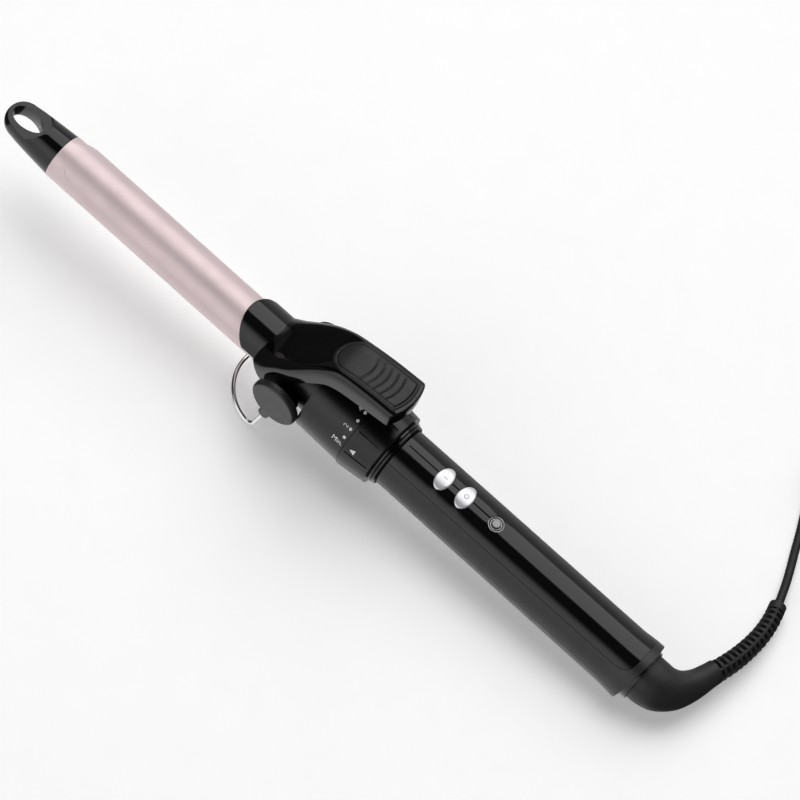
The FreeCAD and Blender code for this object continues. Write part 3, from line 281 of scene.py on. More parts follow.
dress("ptc_heater", finish_of("fired ceramic", (0.32, 0.31, 0.30), 0.7, 1800, 0.1))
dress("heater_insulation", finish_of("amber film", (0.55, 0.26, 0.05), 0.25, 900, 0.02))
aluminium = finish_of("extruded aluminium", (0.72, 0.72, 0.73), 0.38, 1500, 0.05, metal=1.0)
for name in ("heater_shoe_upper", "heater_shoe_lower", "thermal_fuse"):
    dress(name, aluminium)
dress("lead_insulator", finish_of("white ceramic", (0.78, 0.77, 0.72), 0.6, 1800, 0.08))
lead_sleeve = finish_of("woven sleeve", (0.72, 0.69, 0.60), 0.8, 3500, 0.3)
dress("heater_leads", lead_sleeve)
dress("supply_leads", lead_sleeve)

# ---- Hinge ----------------------------------------------------------------------------
# The black base that carries the barrel, two steel pins and the bright torsion springs
# that hold the clip shut.

satin_black = finish_of("satin black", (0.012, 0.012, 0.013), 0.35, 2600, 0.06)
dress("hinge_base", satin_black)
chrome = finish_of("bright chrome", (0.80, 0.80, 0.81), 0.07, 900, 0.01, metal=1.0, shade=0.02)
dress("clip_springs", chrome)
steel = finish_of("zinc plated steel", (0.62, 0.62, 0.60), 0.28, 1600, 0.05, metal=1.0)
for name in ("hinge_pins", "clip_rivets", "case_screws"):
    dress(name, steel)

# ---- Clip lever -----------------------------------------------------------------------
# A gloss black moulding in one piece: a collar round the root of the clip, two ears on the
# hinge pins and a raised back for the thumb, hollow beneath.


def at_angle(x, angle, radius):
    """A point round the iron's axis, by degrees from its top towards the near side."""
    turned = math.radians(angle)
    return on_iron(x, -radius * math.sin(turned), radius * math.cos(turned))


def between(table, x):
    """Reads a table of places and values, in smooth passage from one to the next."""
    if x <= table[0][0]:
        return table[0][1:]
    if x >= table[-1][0]:
        return table[-1][1:]
    step = max(place for place in range(len(table) - 1) if table[place][0] <= x)
    start, end = table[step], table[step + 1]
    before, after = table[max(step - 1, 0)], table[min(step + 2, len(table) - 1)]
    span = end[0] - start[0]
    share = (x - start[0]) / span
    values = []
    for low, high, far_low, far_high in zip(start[1:], end[1:], before[1:], after[1:]):
        lean_in = (high - far_low) / (end[0] - before[0]) * span
        lean_out = (far_high - low) / (after[0] - start[0]) * span
        climb = high - low
        bend = share * (1 - share)
        values.append(low + climb * share
                      + bend * ((lean_in - climb) * (1 - share) - (lean_out - climb) * share))
    return values


def sheet(columns, rows):
    """An even net of faces, two units square, ready to be drawn into a skin."""
    bpy.ops.object.select_all(action="DESELECT")
    bpy.ops.mesh.primitive_grid_add(x_subdivisions=columns, y_subdivisions=rows, size=2)
    return bpy.context.object


def thicken(piece, wall, rim):
    """Gives a skin its wall, inwards, and rounds the edges of its rim."""
    alone(piece)
    solid = piece.modifiers.new("wall", "SOLIDIFY")
    solid.thickness = wall
    solid.offset = -1
    solid.use_even_offset = False
    bpy.ops.object.modifier_apply(modifier="wall")
    round_corners(piece, rim, 50)
    bpy.ops.object.shade_smooth_by_angle(angle=math.radians(45))
    piece.select_set(False)
    return piece


# Place from the pivot, then half width, top, depth of the rounded part and squareness.
LEVER_SECTIONS = [
    (-17.0, 13.0, 12.2, 12.2, 2.0), (-12.0, 14.1, 14.3, 12.6, 2.5), (-6.0, 14.25, 19.3, 12.0, 3.2),
    (1.0, 14.1, 25.8, 11.3, 3.5), (9.0, 12.1, 33.4, 9.6, 3.8), (16.0, 10.8, 37.1, 8.2, 4.3),
    (30.0, 10.5, 39.8, 7.0, 5.0), (47.0, 10.5, 41.4, 6.0, 5.0),
]
# Place from the pivot and the height of the flank's lower edge.
LEVER_HEM = [(-17.0, 4.0), (-11.0, -0.4), (-5.0, -0.2), (-1.0, 4.0), (2.2, 11.0), (8.0, 19.0),
             (15.6, 26.4), (30.0, 30.3), (47.0, 33.8)]
LEVER_FRONT = -17
LEVER_REAR = 43
REAR_BOW = 2.6
REAR_HALF = 10.5
FLANK_SHARE = 0.22
# The last rows are kept for the rear wall, under a rounded edge.
ROLL_START = 0.94
ROLL_SHARE = 0.06
REAR_ROUND = 0.9
REAR_DROP = 8
REAR_DRAFT = 0.06
LEVER_WALL = 0.0016
LEVER_RIM = 0.0004


def lever_spot(a, b, c):
    """The lever's skin, from its near hem over its back to its far hem."""
    side = (a + 1) / 2
    run = (b + 1) / 2
    roll = max(0.0, (run - ROLL_START) / ROLL_SHARE)
    run = min(run / ROLL_START, 1.0)
    place = LEVER_FRONT + (LEVER_REAR - LEVER_FRONT) * run
    half, top, depth, square = between(LEVER_SECTIONS, place)
    hem = between(LEVER_HEM, place)[0]
    shoulder = top - depth
    # At the front the hem lies above the shoulder, so the round starts at the hem.
    start = math.asin(min(1.0, max(0.0, (hem - shoulder) / depth) ** (square / 2)))
    if side < FLANK_SHARE:
        z = hem + max(shoulder - hem, 0) * side / FLANK_SHARE
        y = -half * math.cos(start) ** (2 / square)
    elif side > 1 - FLANK_SHARE:
        z = hem + max(shoulder - hem, 0) * (1 - side) / FLANK_SHARE
        y = half * math.cos(start) ** (2 / square)
    else:
        turned = start + (math.pi - 2 * start) * (side - FLANK_SHARE) / (1 - 2 * FLANK_SHARE)
        y = -math.copysign(abs(math.cos(turned)) ** (2 / square), math.cos(turned)) * half
        z = shoulder + depth * max(math.sin(turned), 0) ** (2 / square)
    rear = LEVER_REAR - REAR_BOW * (y / REAR_HALF) ** 2
    place = LEVER_FRONT + (rear - LEVER_FRONT) * run
    if roll > 0:
        over = min(roll * 2, 1)
        place += REAR_ROUND * math.sin(over * math.pi / 2)
        fall = REAR_ROUND * (1 - math.cos(over * math.pi / 2))
        fall += max(roll - 0.5, 0) * 2 * REAR_DROP
        z = max(z - fall, min(z, hem))
        y *= 1 - REAR_DRAFT * over
    return on_iron(PIVOT_X + place, y, z)


lever = thicken(tidy(drawn(sheet(48, 72), lever_spot)), LEVER_WALL, LEVER_RIM)

COLLAR_RADIUS = 12.75
COLLAR_ANGLE = 72
COLLAR_END = 74
COLLAR_SHOULDER = -22
COLLAR_REACH = 9
COLLAR_BACK = -12
COLLAR_WALL = 0.0022
COLLAR_RIM = 0.0006


def collar_spot(a, b, c):
    """The collar wraps the barrel's upper side and has a front end that is oval in plan."""
    angle = COLLAR_ANGLE * a
    bow = math.sin(math.radians(angle)) / math.sin(math.radians(COLLAR_END))
    front = COLLAR_SHOULDER - COLLAR_REACH * math.sqrt(max(0.0, 1 - bow * bow))
    place = front + (COLLAR_BACK - front) * (b + 1) / 2
    return at_angle(PIVOT_X + place, -angle, COLLAR_RADIUS)


collar = thicken(tidy(drawn(sheet(40, 16), collar_spot)), COLLAR_WALL, COLLAR_RIM)

EAR_ASIDE = 13.3
EAR_RADIUS = 7.2
EAR_WALL = 1.8
EAR_EDGE = 0.4

ears = []
for side in (-1, 1):
    ear = round_rims(rod(64, EAR_RADIUS * MILLI, EAR_WALL * MILLI), EAR_EDGE * MILLI, 3)
    middle = on_iron(PIVOT_X, side * EAR_ASIDE, 0)
    ear.data.transform(Matrix.Translation(middle) @ Matrix.Rotation(math.pi / 2, 4, "X"))
    bpy.ops.object.shade_smooth_by_angle(angle=math.radians(40))
    ears.append(ear)

lever = joined([lever, collar, *ears], "clip_lever_skin")
cast(lever, gloss_black, "clip")
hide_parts("clip_lever")

# ---- Thumb pad ------------------------------------------------------------------------
# A grained pad pressed into the lever's back, with a fine groove inside its edge and five
# curved grip ridges moulded in it.

pad_black = finish_of("grained pad", (0.010, 0.010, 0.0105), 0.42, 2200, 0.35)
PAD_HALF = 8.2
PAD_FRONT = 7.5
PAD_REAR = 42.1
PAD_BOW = 2
PAD_PROUD = 0.5
PAD_ROUND = 0.7
EVEN_ROWS = 0.65
GROOVE_IN = 1.4
GROOVE_DEEP = 0.35
GROOVE_HALF = 0.22
RIDGES = [22.4, 25.5, 28.6, 31.7, 34.8]
RIDGE_NEAR = -6.6
RIDGE_FAR = 5.6
RIDGE_MIDDLE = -0.5
RIDGE_REACH = 6
RIDGE_BOW = 1.35
RIDGE_RISE = 0.3
RIDGE_HALF = 0.3
PAD_WALL = 0.0011
PAD_RIM = 0.0001


def pad_spot(a, b, c):
    """The pad follows the lever's back. Its rows crowd towards the outline's rounded edge."""
    y = PAD_HALF * math.sin(a * math.pi / 2)
    crowded = (1 + math.sin(b * math.pi / 2)) / 2
    run = crowded * (1 - EVEN_ROWS) + (b + 1) / 2 * EVEN_ROWS
    front = PAD_FRONT + PAD_HALF - math.sqrt(max(0.0, PAD_HALF ** 2 - y * y))
    rear = PAD_REAR - PAD_BOW * (y / PAD_HALF) ** 2
    x = front + (rear - front) * run
    if x < PAD_FRONT + PAD_HALF:
        inward = PAD_HALF - math.hypot(y, PAD_FRONT + PAD_HALF - x)
    else:
        inward = PAD_HALF - abs(y)
    inward = max(0.0, min(inward, rear - x))
    lift = PAD_PROUD
    if inward < PAD_ROUND:
        lift -= PAD_ROUND - math.sqrt(max(0.0, PAD_ROUND ** 2 - (PAD_ROUND - inward) ** 2))
    lift -= GROOVE_DEEP * math.exp(-((inward - GROOVE_IN) / GROOVE_HALF) ** 2)
    if RIDGE_NEAR < y < RIDGE_FAR:
        bow = (y - RIDGE_MIDDLE) / RIDGE_REACH
        for ridge in RIDGES:
            middle = ridge + RIDGE_BOW * (1 - bow * bow)
            lift += RIDGE_RISE * math.exp(-((x - middle) / RIDGE_HALF) ** 2)
    half, top, depth, square = between(LEVER_SECTIONS, x)
    crown = top - depth + depth * max(0.0, 1 - abs(y / half) ** square) ** (1 / square)
    return on_iron(PIVOT_X + x, y, crown + lift)


pad = thicken(tidy(drawn(sheet(56, 150), pad_spot), 60), PAD_WALL, PAD_RIM)
pad.name = "thumb_pad_ridged"
cast(pad, pad_black, "clip")
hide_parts("thumb_pad")

# ---- Stand ----------------------------------------------------------------------------
# Two satin discs turn on the hinge pins and carry a bent chrome wire, which folds back
# to clasp the scale housing.

satin_grey = finish_of("satin anthracite", (0.016, 0.016, 0.017), 0.36, 2800, 0.06)
dress("stand_hubs", satin_grey)
dress("stand_wire", chrome)

# ---- Scale housing, dial and bead -----------------------------------------------------
# A smooth collar with a scale printed in white, the ribbed dial that turns on the core
# behind it, and a gloss double bead at the root of the handle.

smooth_black = finish_of("smooth black", (0.0035, 0.0035, 0.0037), 0.24, 2400, 0.03)
dress("scale_housing", smooth_black)
dress("temperature_dial", smooth_black)
dress("bead_ring", gloss_black)
raw_black = finish_of("raw black moulding", (0.02, 0.02, 0.02), 0.55, 2200, 0.1)
dress("dial_core", raw_black)

white_ink = finish_of("white ink", (0.97, 0.97, 0.96), 0.4, 2600, 0.05, shade=0.02)
INK = 0.05
HOUSING_FRONT = 164
HOUSING_LENGTH = 21
HOUSING_RADIUS = 16.2
HOUSING_SWELL = 0.5
DOTS = 10
DOT_STEP = 14.2
FIRST_DOT = 55.8
DOT_PLACE = 183.4
DOT_RADIUS = 0.65
DOT_ARC = 16.7
NUMBERED = (2, 4, 6, 8)
NUMBER_PLACE = 181.2
NUMBER_TALL = 2.0
WORD_PLACE = 181.9
WORD_TALL = 2.1
WORD_STEP = 11
WORD_ARC = 16.6


def inked(x, angle):
    """A spot of ink on the housing, which swells a little towards the dial."""
    swell = HOUSING_SWELL * (x - HOUSING_FRONT) / HOUSING_LENGTH
    return at_angle(x, angle, HOUSING_RADIUS + swell + INK)


CAPITAL_SHARE = 0.69


def letter(text, height):
    """A flat word or number as a mesh, centred, with its capitals as high as given."""
    bpy.ops.object.select_all(action="DESELECT")
    bpy.ops.object.text_add()
    word = bpy.context.object
    word.data.body = text
    word.data.size = height / CAPITAL_SHARE
    word.data.align_x = "CENTER"
    word.data.align_y = "CENTER"
    bpy.ops.object.convert(target="MESH")
    return bpy.context.object


def spot_of_ink(vertices, radius):
    """A flat disc, or a triangle that points towards the tip."""
    bpy.ops.object.select_all(action="DESELECT")
    bpy.ops.mesh.primitive_circle_add(vertices=vertices, radius=radius, fill_type="TRIFAN")
    return bpy.context.object


marks = []
for dot in range(1, DOTS + 1):
    angle = FIRST_DOT - DOT_STEP * (dot - 1)
    marks.append(drawn(spot_of_ink(32, DOT_RADIUS), lambda x, y, z: inked(
        DOT_PLACE + x, angle + math.degrees(y / DOT_ARC))))
    if dot in NUMBERED:
        marks.append(drawn(letter(str(dot), NUMBER_TALL), lambda x, y, z: inked(
            NUMBER_PLACE - y, angle - math.degrees(x / WORD_ARC))))
LAST_DOT = FIRST_DOT - DOT_STEP * (DOTS - 1)
for text, angle in (("Min.", FIRST_DOT + WORD_STEP), ("Max.", LAST_DOT - WORD_STEP)):
    marks.append(drawn(letter(text, WORD_TALL), lambda x, y, z: inked(
        WORD_PLACE + x, angle - math.degrees(y / WORD_ARC))))
cast(joined(marks, "scale_print"), white_ink, "handle")

DIAL_FRONT = 185.3
DIAL_LENGTH = 12.8
DIAL_RADIUS = 17.2
DIAL_TAPER = 1.3
POINTER_SIZE = 1.3
POINTER_STRETCH = 1.2
POINTER_PLACE = 189.4
POINTER_ANGLE = 64
POINTER_ARC = 17.0


def pointer_spot(x, y, z):
    """The pointer lies on the dial's tapered side, its tip towards the scale."""
    place = POINTER_PLACE - y * POINTER_STRETCH
    radius = DIAL_RADIUS - DIAL_TAPER * (place - DIAL_FRONT) / DIAL_LENGTH + INK
    return at_angle(place, POINTER_ANGLE + math.degrees(x / POINTER_ARC), radius)


pointer = drawn(spot_of_ink(3, POINTER_SIZE), pointer_spot)
pointer.name = "dial_pointer"
cast(pointer, white_ink, "dial")

# ---- Handle ---------------------------------------------------------------------------
# Two satin half shells held by screws from below, with a gloss panel let into the upper
# one. Inside, a board carries the lamp, the switches and the dial's track.

dress("handle_shell_lower", satin_grey)
dress("handle_shell_upper", satin_grey)
dress("button_panel", gloss_black)
dress("lamp_led", finish_of("red lamp", (0.5, 0.04, 0.03), 0.2, 900, 0.02))
board_green = finish_of("solder mask", (0.03, 0.16, 0.06), 0.35, 900, 0.05)
dress("circuit_board", board_green)
dress("dial_track", board_green)
dress("board_components", raw_black)
dress("tact_switches", raw_black)

# ---- Buttons --------------------------------------------------------------------------
# Two oval caps in silver paint, domed as the handle is, each on a stem to its switch. A
# bar and a ring are printed on them in grey.

silver = finish_of("silver paint", (0.78, 0.78, 0.80), 0.30, 2600, 0.04, metal=0.6, shade=0.03)
grey_ink = finish_of("grey ink", (0.30, 0.30, 0.31), 0.45, 2600, 0.05, shade=0.05)
HANDLE_FRONT = 201.4
BUTTONS = (("on", "I", 20.2), ("off", "O", 30.7))
BUTTON_CROWN = 13.02
BUTTON_HALF_WIDE = 5.4
BUTTON_HALF_LONG = 3.35
BUTTON_EGG = 0.35
BUTTON_RIM = 0.5
RIM_SHARPNESS = 14
SKIRT_DEPTH = 1.6
SKIRT_END = -0.34
STEM_RADIUS = 0.0011
STEM_TOP = 10.5
STEM_OVERLAP = 0.0004
STEM_EDGE = 0.0001
SYMBOL_TALL = 1.9
SYMBOL_INK = 0.02


def button_spot(middle, a, b, c):
    """The cap's dome above, and below it a straight skirt that closes underneath."""
    out = math.hypot(a, b)
    if c <= 0 and out > 0:
        a, b = a / out, b / out
    y = BUTTON_HALF_WIDE * b
    level = math.sqrt(BUTTON_CROWN ** 2 - y * y)
    drop = BUTTON_RIM * (1 - math.sqrt(max(0.0, 1 - min(out, 1) ** RIM_SHARPNESS)))
    if c <= 0:
        drop = BUTTON_RIM + SKIRT_DEPTH * min(-c * 3, 1)
        if c < SKIRT_END:
            a, b, y = a * out, b * out, y * out
    return on_iron(middle + (BUTTON_HALF_LONG - BUTTON_EGG * b) * a, y, level - drop)


for name, mark, place in BUTTONS:
    middle = HANDLE_FRONT + place
    bpy.ops.object.select_all(action="DESELECT")
    bpy.ops.mesh.primitive_uv_sphere_add(segments=96, ring_count=48, radius=1)
    cap = drawn(bpy.context.object, lambda a, b, c: button_spot(middle, a, b, c))
    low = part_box("power_" + name + "_button")[0].z
    foot = on_iron(middle, 0, STEM_TOP)
    stem = round_rims(rod(32, STEM_RADIUS, foot.z - low + STEM_OVERLAP), STEM_EDGE)
    centre = Vector((foot.x, 0, (foot.z + low + STEM_OVERLAP) / 2))
    stem.data.transform(Matrix.Translation(centre))
    button = tidy(joined([cap, stem], name + "_button_cap"), 50)
    cast(button, silver, name + "_button")
    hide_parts("power_" + name + "_button")
    symbol = drawn(letter(mark, SYMBOL_TALL), lambda x, y, z: at_angle(
        middle + y, math.degrees(x / BUTTON_CROWN), BUTTON_CROWN + SYMBOL_INK))
    symbol.name = name + "_symbol"
    cast(symbol, grey_ink, name + "_button")

# ---- Lamp -----------------------------------------------------------------------------
# A clear lens stands in a dish in the panel, with two bright turned rings round it.

# The lens is painted an even light grey. This is a painted highlight that stands in for the bright
# reflection in a clear lens.
dress("lamp_lens", finish_of("lens in painted highlight grey", (0.34, 0.34, 0.35), 0.05, 900, 0.01))
LAMP_X = HANDLE_FRONT + 45.9
# Radius and height of each ring.
LAMP_RINGS = ((3.05, 12.05), (2.15, 12.0))
RING_WIRE = 0.13

rings = []
for radius, height in LAMP_RINGS:
    bpy.ops.object.select_all(action="DESELECT")
    bpy.ops.mesh.primitive_torus_add(major_radius=radius, minor_radius=RING_WIRE,
                                     major_segments=64, minor_segments=10)
    rings.append(drawn(bpy.context.object, lambda a, b, c: on_iron(LAMP_X + a, b, height + c)))
lamp_rings = tidy(joined(rings, "lamp_rings"), 60)
cast(lamp_rings, chrome, "handle")

# ---- Swivel ---------------------------------------------------------------------------
# A socket in the handle's end holds the elbow's spindle behind a keeper. Brushes feed two
# brass rings on the spindle, so that the cord turns freely.

matte_black = finish_of("matte black", (0.018, 0.018, 0.019), 0.5, 2600, 0.12)
dress("swivel_socket", gloss_black)
dress("swivel_keeper", raw_black)
brass = finish_of("bare brass", (0.75, 0.55, 0.25), 0.25, 1500, 0.05, metal=1.0)
dress("slip_rings", brass)
dress("slip_brushes", brass)

# The elbow's round sections: step, place, distance aside, turn and radius.
ELBOW = [
    (0, 325.0, 0.0, 0, 9.9), (1, 329.0, 0.1, 2, 9.8), (2, 333.6, 1.2, 14, 9.1),
    (3, 338.0, 5.2, 38, 7.5), (4, 340.8, 11.2, 58, 5.9), (5, 342.4, 17.6, 71, 4.95),
    (6, 343.3, 21.4, 74, 4.72),
]
SPINDLE_MIDDLE = 315.2
SPINDLE_LENGTH = 20
SPINDLE_RADIUS = 4.8
SPINDLE_EDGE = 0.3


def elbow_spot(a, b, c):
    """The elbow turns from the iron's axis to the side and thins down to the cord."""
    x, y, turn, radius = between(ELBOW, (c + 1) * ELBOW[-1][0] / 2)
    turn = math.radians(turn)
    return on_iron(x - math.sin(turn) * a * radius, y + math.cos(turn) * a * radius, b * radius)


elbow = drawn(rod(72, 1, 2, 36), elbow_spot)
spindle = round_rims(rod(48, SPINDLE_RADIUS, SPINDLE_LENGTH), SPINDLE_EDGE)
drawn(spindle, lambda a, b, c: on_iron(SPINDLE_MIDDLE + c, a, b))
elbow = tidy(joined([elbow, spindle], "cord_elbow"), 50)
cast(elbow, matte_black, "cord_end")
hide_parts("swivel_elbow")

# ---- Strain relief --------------------------------------------------------------------
# A soft sleeve moulded round the cord, slotted so that it bends: a thin core, a spine on
# two sides and a row of ribs that get smaller towards the cord.

rubber = finish_of("soft rubber", (0.018, 0.018, 0.018), 0.55, 2600, 0.2)
# The centre line: step, and then the point, with about three steps to each centimetre.
RELIEF_LINE = [
    (-1.2, 338.9, 9.2, 0.1), (1, 341.6, 15.6, 0.0), (4, 344.2, 24.6, -0.7),
    (7.6, 345.9, 35.2, -2.2), (11.4, 346.3, 46.6, -3.9), (14.5, 345.2, 55.8, -5.2),
    (17.2, 343.2, 63.4, -6.2),
]
RELIEF_START = RELIEF_LINE[0][0]
RELIEF_END = RELIEF_LINE[-1][0]
RELIEF_RADIUS = 4.7
RELIEF_TAPER = 1.3
LOOK = 0.2
SPINE_SIDE = Vector((0.2161, -0.4534, 0.8644))
RIBS = 15
FIRST_RIB = 2.6
RIB_STEP = 0.93
RIB_THICK = 0.0013
RIB_EDGE = 0.0003
# Start, end, width and depth as shares of the radius, and flare: core, spines, two collars.
RELIEF_RUNS = [(0, RELIEF_END, 0.6, 0.6, 0), (0.5, 16.6, 0.34, 0.99, 0),
               (0.4, 2.1, 1, 1, 0.04), (16.1, RELIEF_END, 1, 1, 0)]


def relief_frame(step):
    """Where the relief's centre line is, and its axes: sideways, outwards and along."""
    here = on_iron(*between(RELIEF_LINE, step))
    ahead = on_iron(*between(RELIEF_LINE, min(step + LOOK, RELIEF_END)))
    behind = on_iron(*between(RELIEF_LINE, max(step - LOOK, RELIEF_START)))
    forth = (ahead - behind).normalized()
    outwards = (SPINE_SIDE - forth * SPINE_SIDE.dot(forth)).normalized()
    sideways = outwards.cross(forth)
    return Matrix((
        (sideways.x, outwards.x, forth.x, here.x), (sideways.y, outwards.y, forth.y, here.y),
        (sideways.z, outwards.z, forth.z, here.z), (0, 0, 0, 1),
    ))


def relief_radius(step):
    """The relief tapers evenly to the cord, in metres."""
    return (RELIEF_RADIUS - RELIEF_TAPER * step / RELIEF_END) * MILLI


def relief_spot(first, last, wide, tall, flare, a, b, c):
    """A point on one run of the relief."""
    step = first + (last - first) * (c + 1) / 2
    radius = relief_radius(step) * (1 + flare * ((1 - c) / 2) ** 2)
    return relief_frame(step) @ Vector((a * wide * radius, b * tall * radius, 0))


parts = [drawn(rod(36, 1, 2, 24), lambda a, b, c: relief_spot(*run, a, b, c))
         for run in RELIEF_RUNS]
for rib in range(RIBS):
    step = FIRST_RIB + rib * RIB_STEP
    disc = round_rims(rod(36, relief_radius(step), RIB_THICK), RIB_EDGE)
    disc.data.transform(relief_frame(step))
    parts.append(disc)
relief = tidy(joined(parts, "slotted_relief"), 40)
cast(relief, rubber, "cord_end")
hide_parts("strain_relief")

# ---- Plug -----------------------------------------------------------------------------
# A flat two-pin plug moulded in soft black round its steel pins, with rounded edges.

PLUG_EDGE = 0.0012
WELD_GAP = 0.000002


def soften(name, width, angle=35):
    """Rounds the sharp edges of a carried-over piece, as a mould leaves them."""
    piece = nodes[name]
    weld = piece.modifiers.new("weld", "WELD")
    weld.merge_threshold = WELD_GAP
    bevel = piece.modifiers.new("bevel", "BEVEL")
    bevel.width = width
    bevel.segments = 3
    bevel.limit_method = "ANGLE"
    bevel.angle_limit = math.radians(angle)
    bevel.harden_normals = True
    return piece


dress("plug_body", rubber)
soften("plug_body", PLUG_EDGE)
dress("plug_prongs", steel)

# ---- Cord -----------------------------------------------------------------------------
# A round mains cord in a soft black sheath. It leaves the relief, comes down to the table
# and lies beside the iron in a wound coil of four layers, with the plug next to it.

CORD_ROUTE = [
    (0.169201, 0.063400, 0.005109), (0.166598, 0.070930, 0.004387), (0.1632, 0.0794, 0.0028),
    (0.1593, 0.0878, 0.0019), (0.1552, 0.0972, 0.0017), (0.1494, 0.1086, 0.0017),
    (0.1433, 0.1196, 0.0017), (0.1393, 0.1310, 0.0018),
]
TAIL_ROUTE = [
    (0.1599, 0.1598, 0.0109), (0.1715, 0.1606, 0.0105), (0.1834, 0.1584, 0.0093),
    (0.1936, 0.1520, 0.0080), (0.2004, 0.1426, 0.0071), (0.2029, 0.1316, 0.0070),
]
COIL_CENTRE = (0.1643, 0.1347)
COIL_LAYERS = 4
LAYER_TURNS = 3.31
POINTS_A_TURN = 16

COIL_START = 188.4
COIL_OUTER = 0.0257
COIL_SPREAD = 0.0108
LAYER_RISE = 0.0031
CORD_LEVEL = 0.0018
CLIMB_START = 0.85
CORD_RADIUS = 0.0017

route = list(CORD_ROUTE)
count = round(COIL_LAYERS * LAYER_TURNS * POINTS_A_TURN)
for step in range(1, count):
    turned = step / POINTS_A_TURN
    layer = min(int(turned / LAYER_TURNS), COIL_LAYERS - 1)
    share = turned / LAYER_TURNS - layer
    inward = share if layer % 2 == 0 else 1 - share
    radius = COIL_OUTER - COIL_SPREAD * inward
    climb = max(0.0, min(1.0, (share - CLIMB_START) / (1 - CLIMB_START)))
    rise = climb if layer < COIL_LAYERS - 1 else 0.0
    angle = math.radians(COIL_START) - 2 * math.pi * turned
    route.append((
        COIL_CENTRE[0] + radius * math.cos(angle), COIL_CENTRE[1] + radius * math.sin(angle),
        CORD_LEVEL + LAYER_RISE * (layer + rise),
    ))
route += TAIL_ROUTE

curve = bpy.data.curves.new("mains_cord", "CURVE")
curve.dimensions = "3D"
spline = curve.splines.new("NURBS")
spline.points.add(len(route) - 1)
for point, place in zip(spline.points, route):
    point.co = (*place, 1)
spline.order_u = 3
spline.use_endpoint_u = True
spline.resolution_u = 4
curve.bevel_depth = CORD_RADIUS
curve.bevel_resolution = 5
curve.use_fill_caps = True
cord = bpy.data.objects.new("mains_cord", curve)
bpy.context.scene.collection.objects.link(cord)
curve.materials.append(rubber)
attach(cord, "cord_end")
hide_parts("cord_tube", "cord_coil", "cord_tail")

# ---- Table, light and camera ----------------------------------------------------------
# A pale table, a tent of soft light whose bands run along the iron, and a long lens.

TABLE_SIZE = 8
TABLE_LEVEL = -0.0002
TABLE_GLOW = 0.27
LAMP_SIZE = 0.9
LAMP_POWER = 5.5
PLAIN_WHITE = 0.97

bpy.ops.object.select_all(action="DESELECT")
bpy.ops.mesh.primitive_plane_add(size=TABLE_SIZE, location=(0, 0, TABLE_LEVEL))
table = bpy.context.object
table.name = "table"
table_finish = finish_of("pale table", (0.86, 0.86, 0.86), 0.7, 60, 0.0, shade=0.01)
glow = table_finish.node_tree.nodes["Principled BSDF"]
glow.inputs["Emission Color"].default_value = (1, 1, 1, 1)
glow.inputs["Emission Strength"].default_value = TABLE_GLOW
table.data.materials.append(table_finish)
table.visible_glossy = False

# A large lamp overhead fills the matt surfaces and leaves no glare in the glossy ones.
bpy.ops.object.light_add(type="AREA", location=(-0.1, 0.25, 1.2), rotation=(-0.2, -0.08, 0))
overhead = bpy.context.object
overhead.data.size = LAMP_SIZE
overhead.data.energy = LAMP_POWER
overhead.visible_glossy = False

world = bpy.data.worlds.new("studio")
bpy.context.scene.world = world
world.use_nodes = True
tree = world.node_tree
direction = tree.nodes.new("ShaderNodeTexCoord")
split = tree.nodes.new("ShaderNodeSeparateXYZ")
tree.links.new(direction.outputs["Generated"], split.inputs["Vector"])
turn = tree.nodes.new("ShaderNodeMath")
turn.operation = "ARCTAN2"
tree.links.new(split.outputs["Y"], turn.inputs[0])
tree.links.new(split.outputs["Z"], turn.inputs[1])
place = tree.nodes.new("ShaderNodeMapRange")
place.inputs["From Min"].default_value = -math.pi / 2
place.inputs["From Max"].default_value = math.pi / 2
tree.links.new(turn.outputs["Value"], place.inputs["Value"])
bands = tree.nodes.new("ShaderNodeValToRGB")
tree.links.new(place.outputs["Result"], bands.inputs["Fac"])
# Brightness of the tent by angle over the table, from the near edge to the far one.
BANDS = [(-90, 0.55), (-62, 0.75), (-45, 0.6), (-33, 0.12), (-28, 0.02), (2, 0.02), (6, 1.0),
         (56, 1.0), (61, 0.25), (90, 0.3)]
ramp = bands.color_ramp
for step, (angle, light) in enumerate(BANDS):
    position = (angle + 90) / 180
    stop = ramp.elements[step] if step < 2 else ramp.elements.new(position)
    stop.position = position
    stop.color = (light, light, light, 1)
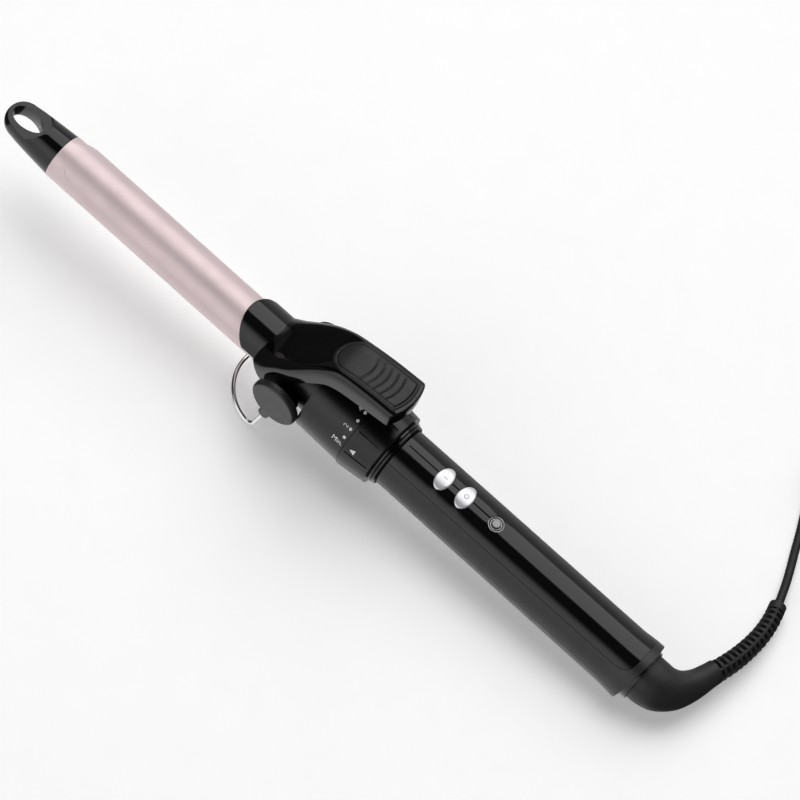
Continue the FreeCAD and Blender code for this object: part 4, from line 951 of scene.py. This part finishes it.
# The bands are as long as the iron and end in the dark at both of its ends.
TENT_SHIFT = 0.2
TENT_FULL = 0.33
TENT_DARK = 0.5
FULL_STRENGTH = 1.75
DARK_STRENGTH = 0.12
reach = tree.nodes.new("ShaderNodeMath")
reach.operation = "ADD"
reach.inputs[1].default_value = TENT_SHIFT
tree.links.new(split.outputs["X"], reach.inputs[0])
span = tree.nodes.new("ShaderNodeMath")
span.operation = "ABSOLUTE"
tree.links.new(reach.outputs["Value"], span.inputs[0])
ends = tree.nodes.new("ShaderNodeMapRange")
ends.interpolation_type = "SMOOTHSTEP"
ends.inputs["From Min"].default_value = TENT_FULL
ends.inputs["From Max"].default_value = TENT_DARK
ends.inputs["To Min"].default_value = FULL_STRENGTH
ends.inputs["To Max"].default_value = DARK_STRENGTH
tree.links.new(span.outputs["Value"], ends.inputs["Value"])
background = tree.nodes["Background"]
tree.links.new(ends.outputs["Result"], background.inputs["Strength"])
tree.links.new(bands.outputs["Color"], background.inputs["Color"])
plain = tree.nodes.new("ShaderNodeBackground")
plain.inputs["Color"].default_value = (PLAIN_WHITE, PLAIN_WHITE, PLAIN_WHITE, 1)
seen = tree.nodes.new("ShaderNodeLightPath")
choose = tree.nodes.new("ShaderNodeMixShader")
tree.links.new(seen.outputs["Is Camera Ray"], choose.inputs["Fac"])
tree.links.new(background.outputs["Background"], choose.inputs[1])
tree.links.new(plain.outputs["Background"], choose.inputs[2])
tree.links.new(choose.outputs["Shader"], tree.nodes["World Output"].inputs["Surface"])

aim = Vector((0.01366, 0.01828, 0.02508))
right = Vector((0.7543, 0.6396, 0.1469))
up = Vector((-0.6194, 0.6207, 0.4804))
back = right.cross(up).normalized()
up = back.cross(right).normalized()
right.normalize()
distance = 1.7
lens = bpy.data.cameras.new("camera")
lens.sensor_width = 36
lens.lens = 36 * distance / 0.3025
camera = bpy.data.objects.new("camera", lens)
bpy.context.scene.collection.objects.link(camera)
camera.matrix_world = Matrix((
    (right.x, up.x, back.x, aim.x + back.x * distance),
    (right.y, up.y, back.y, aim.y + back.y * distance),
    (right.z, up.z, back.z, aim.z + back.z * distance),
    (0, 0, 0, 1),
))
bpy.context.scene.camera = camera
bpy.context.scene.view_settings.view_transform = "Standard"
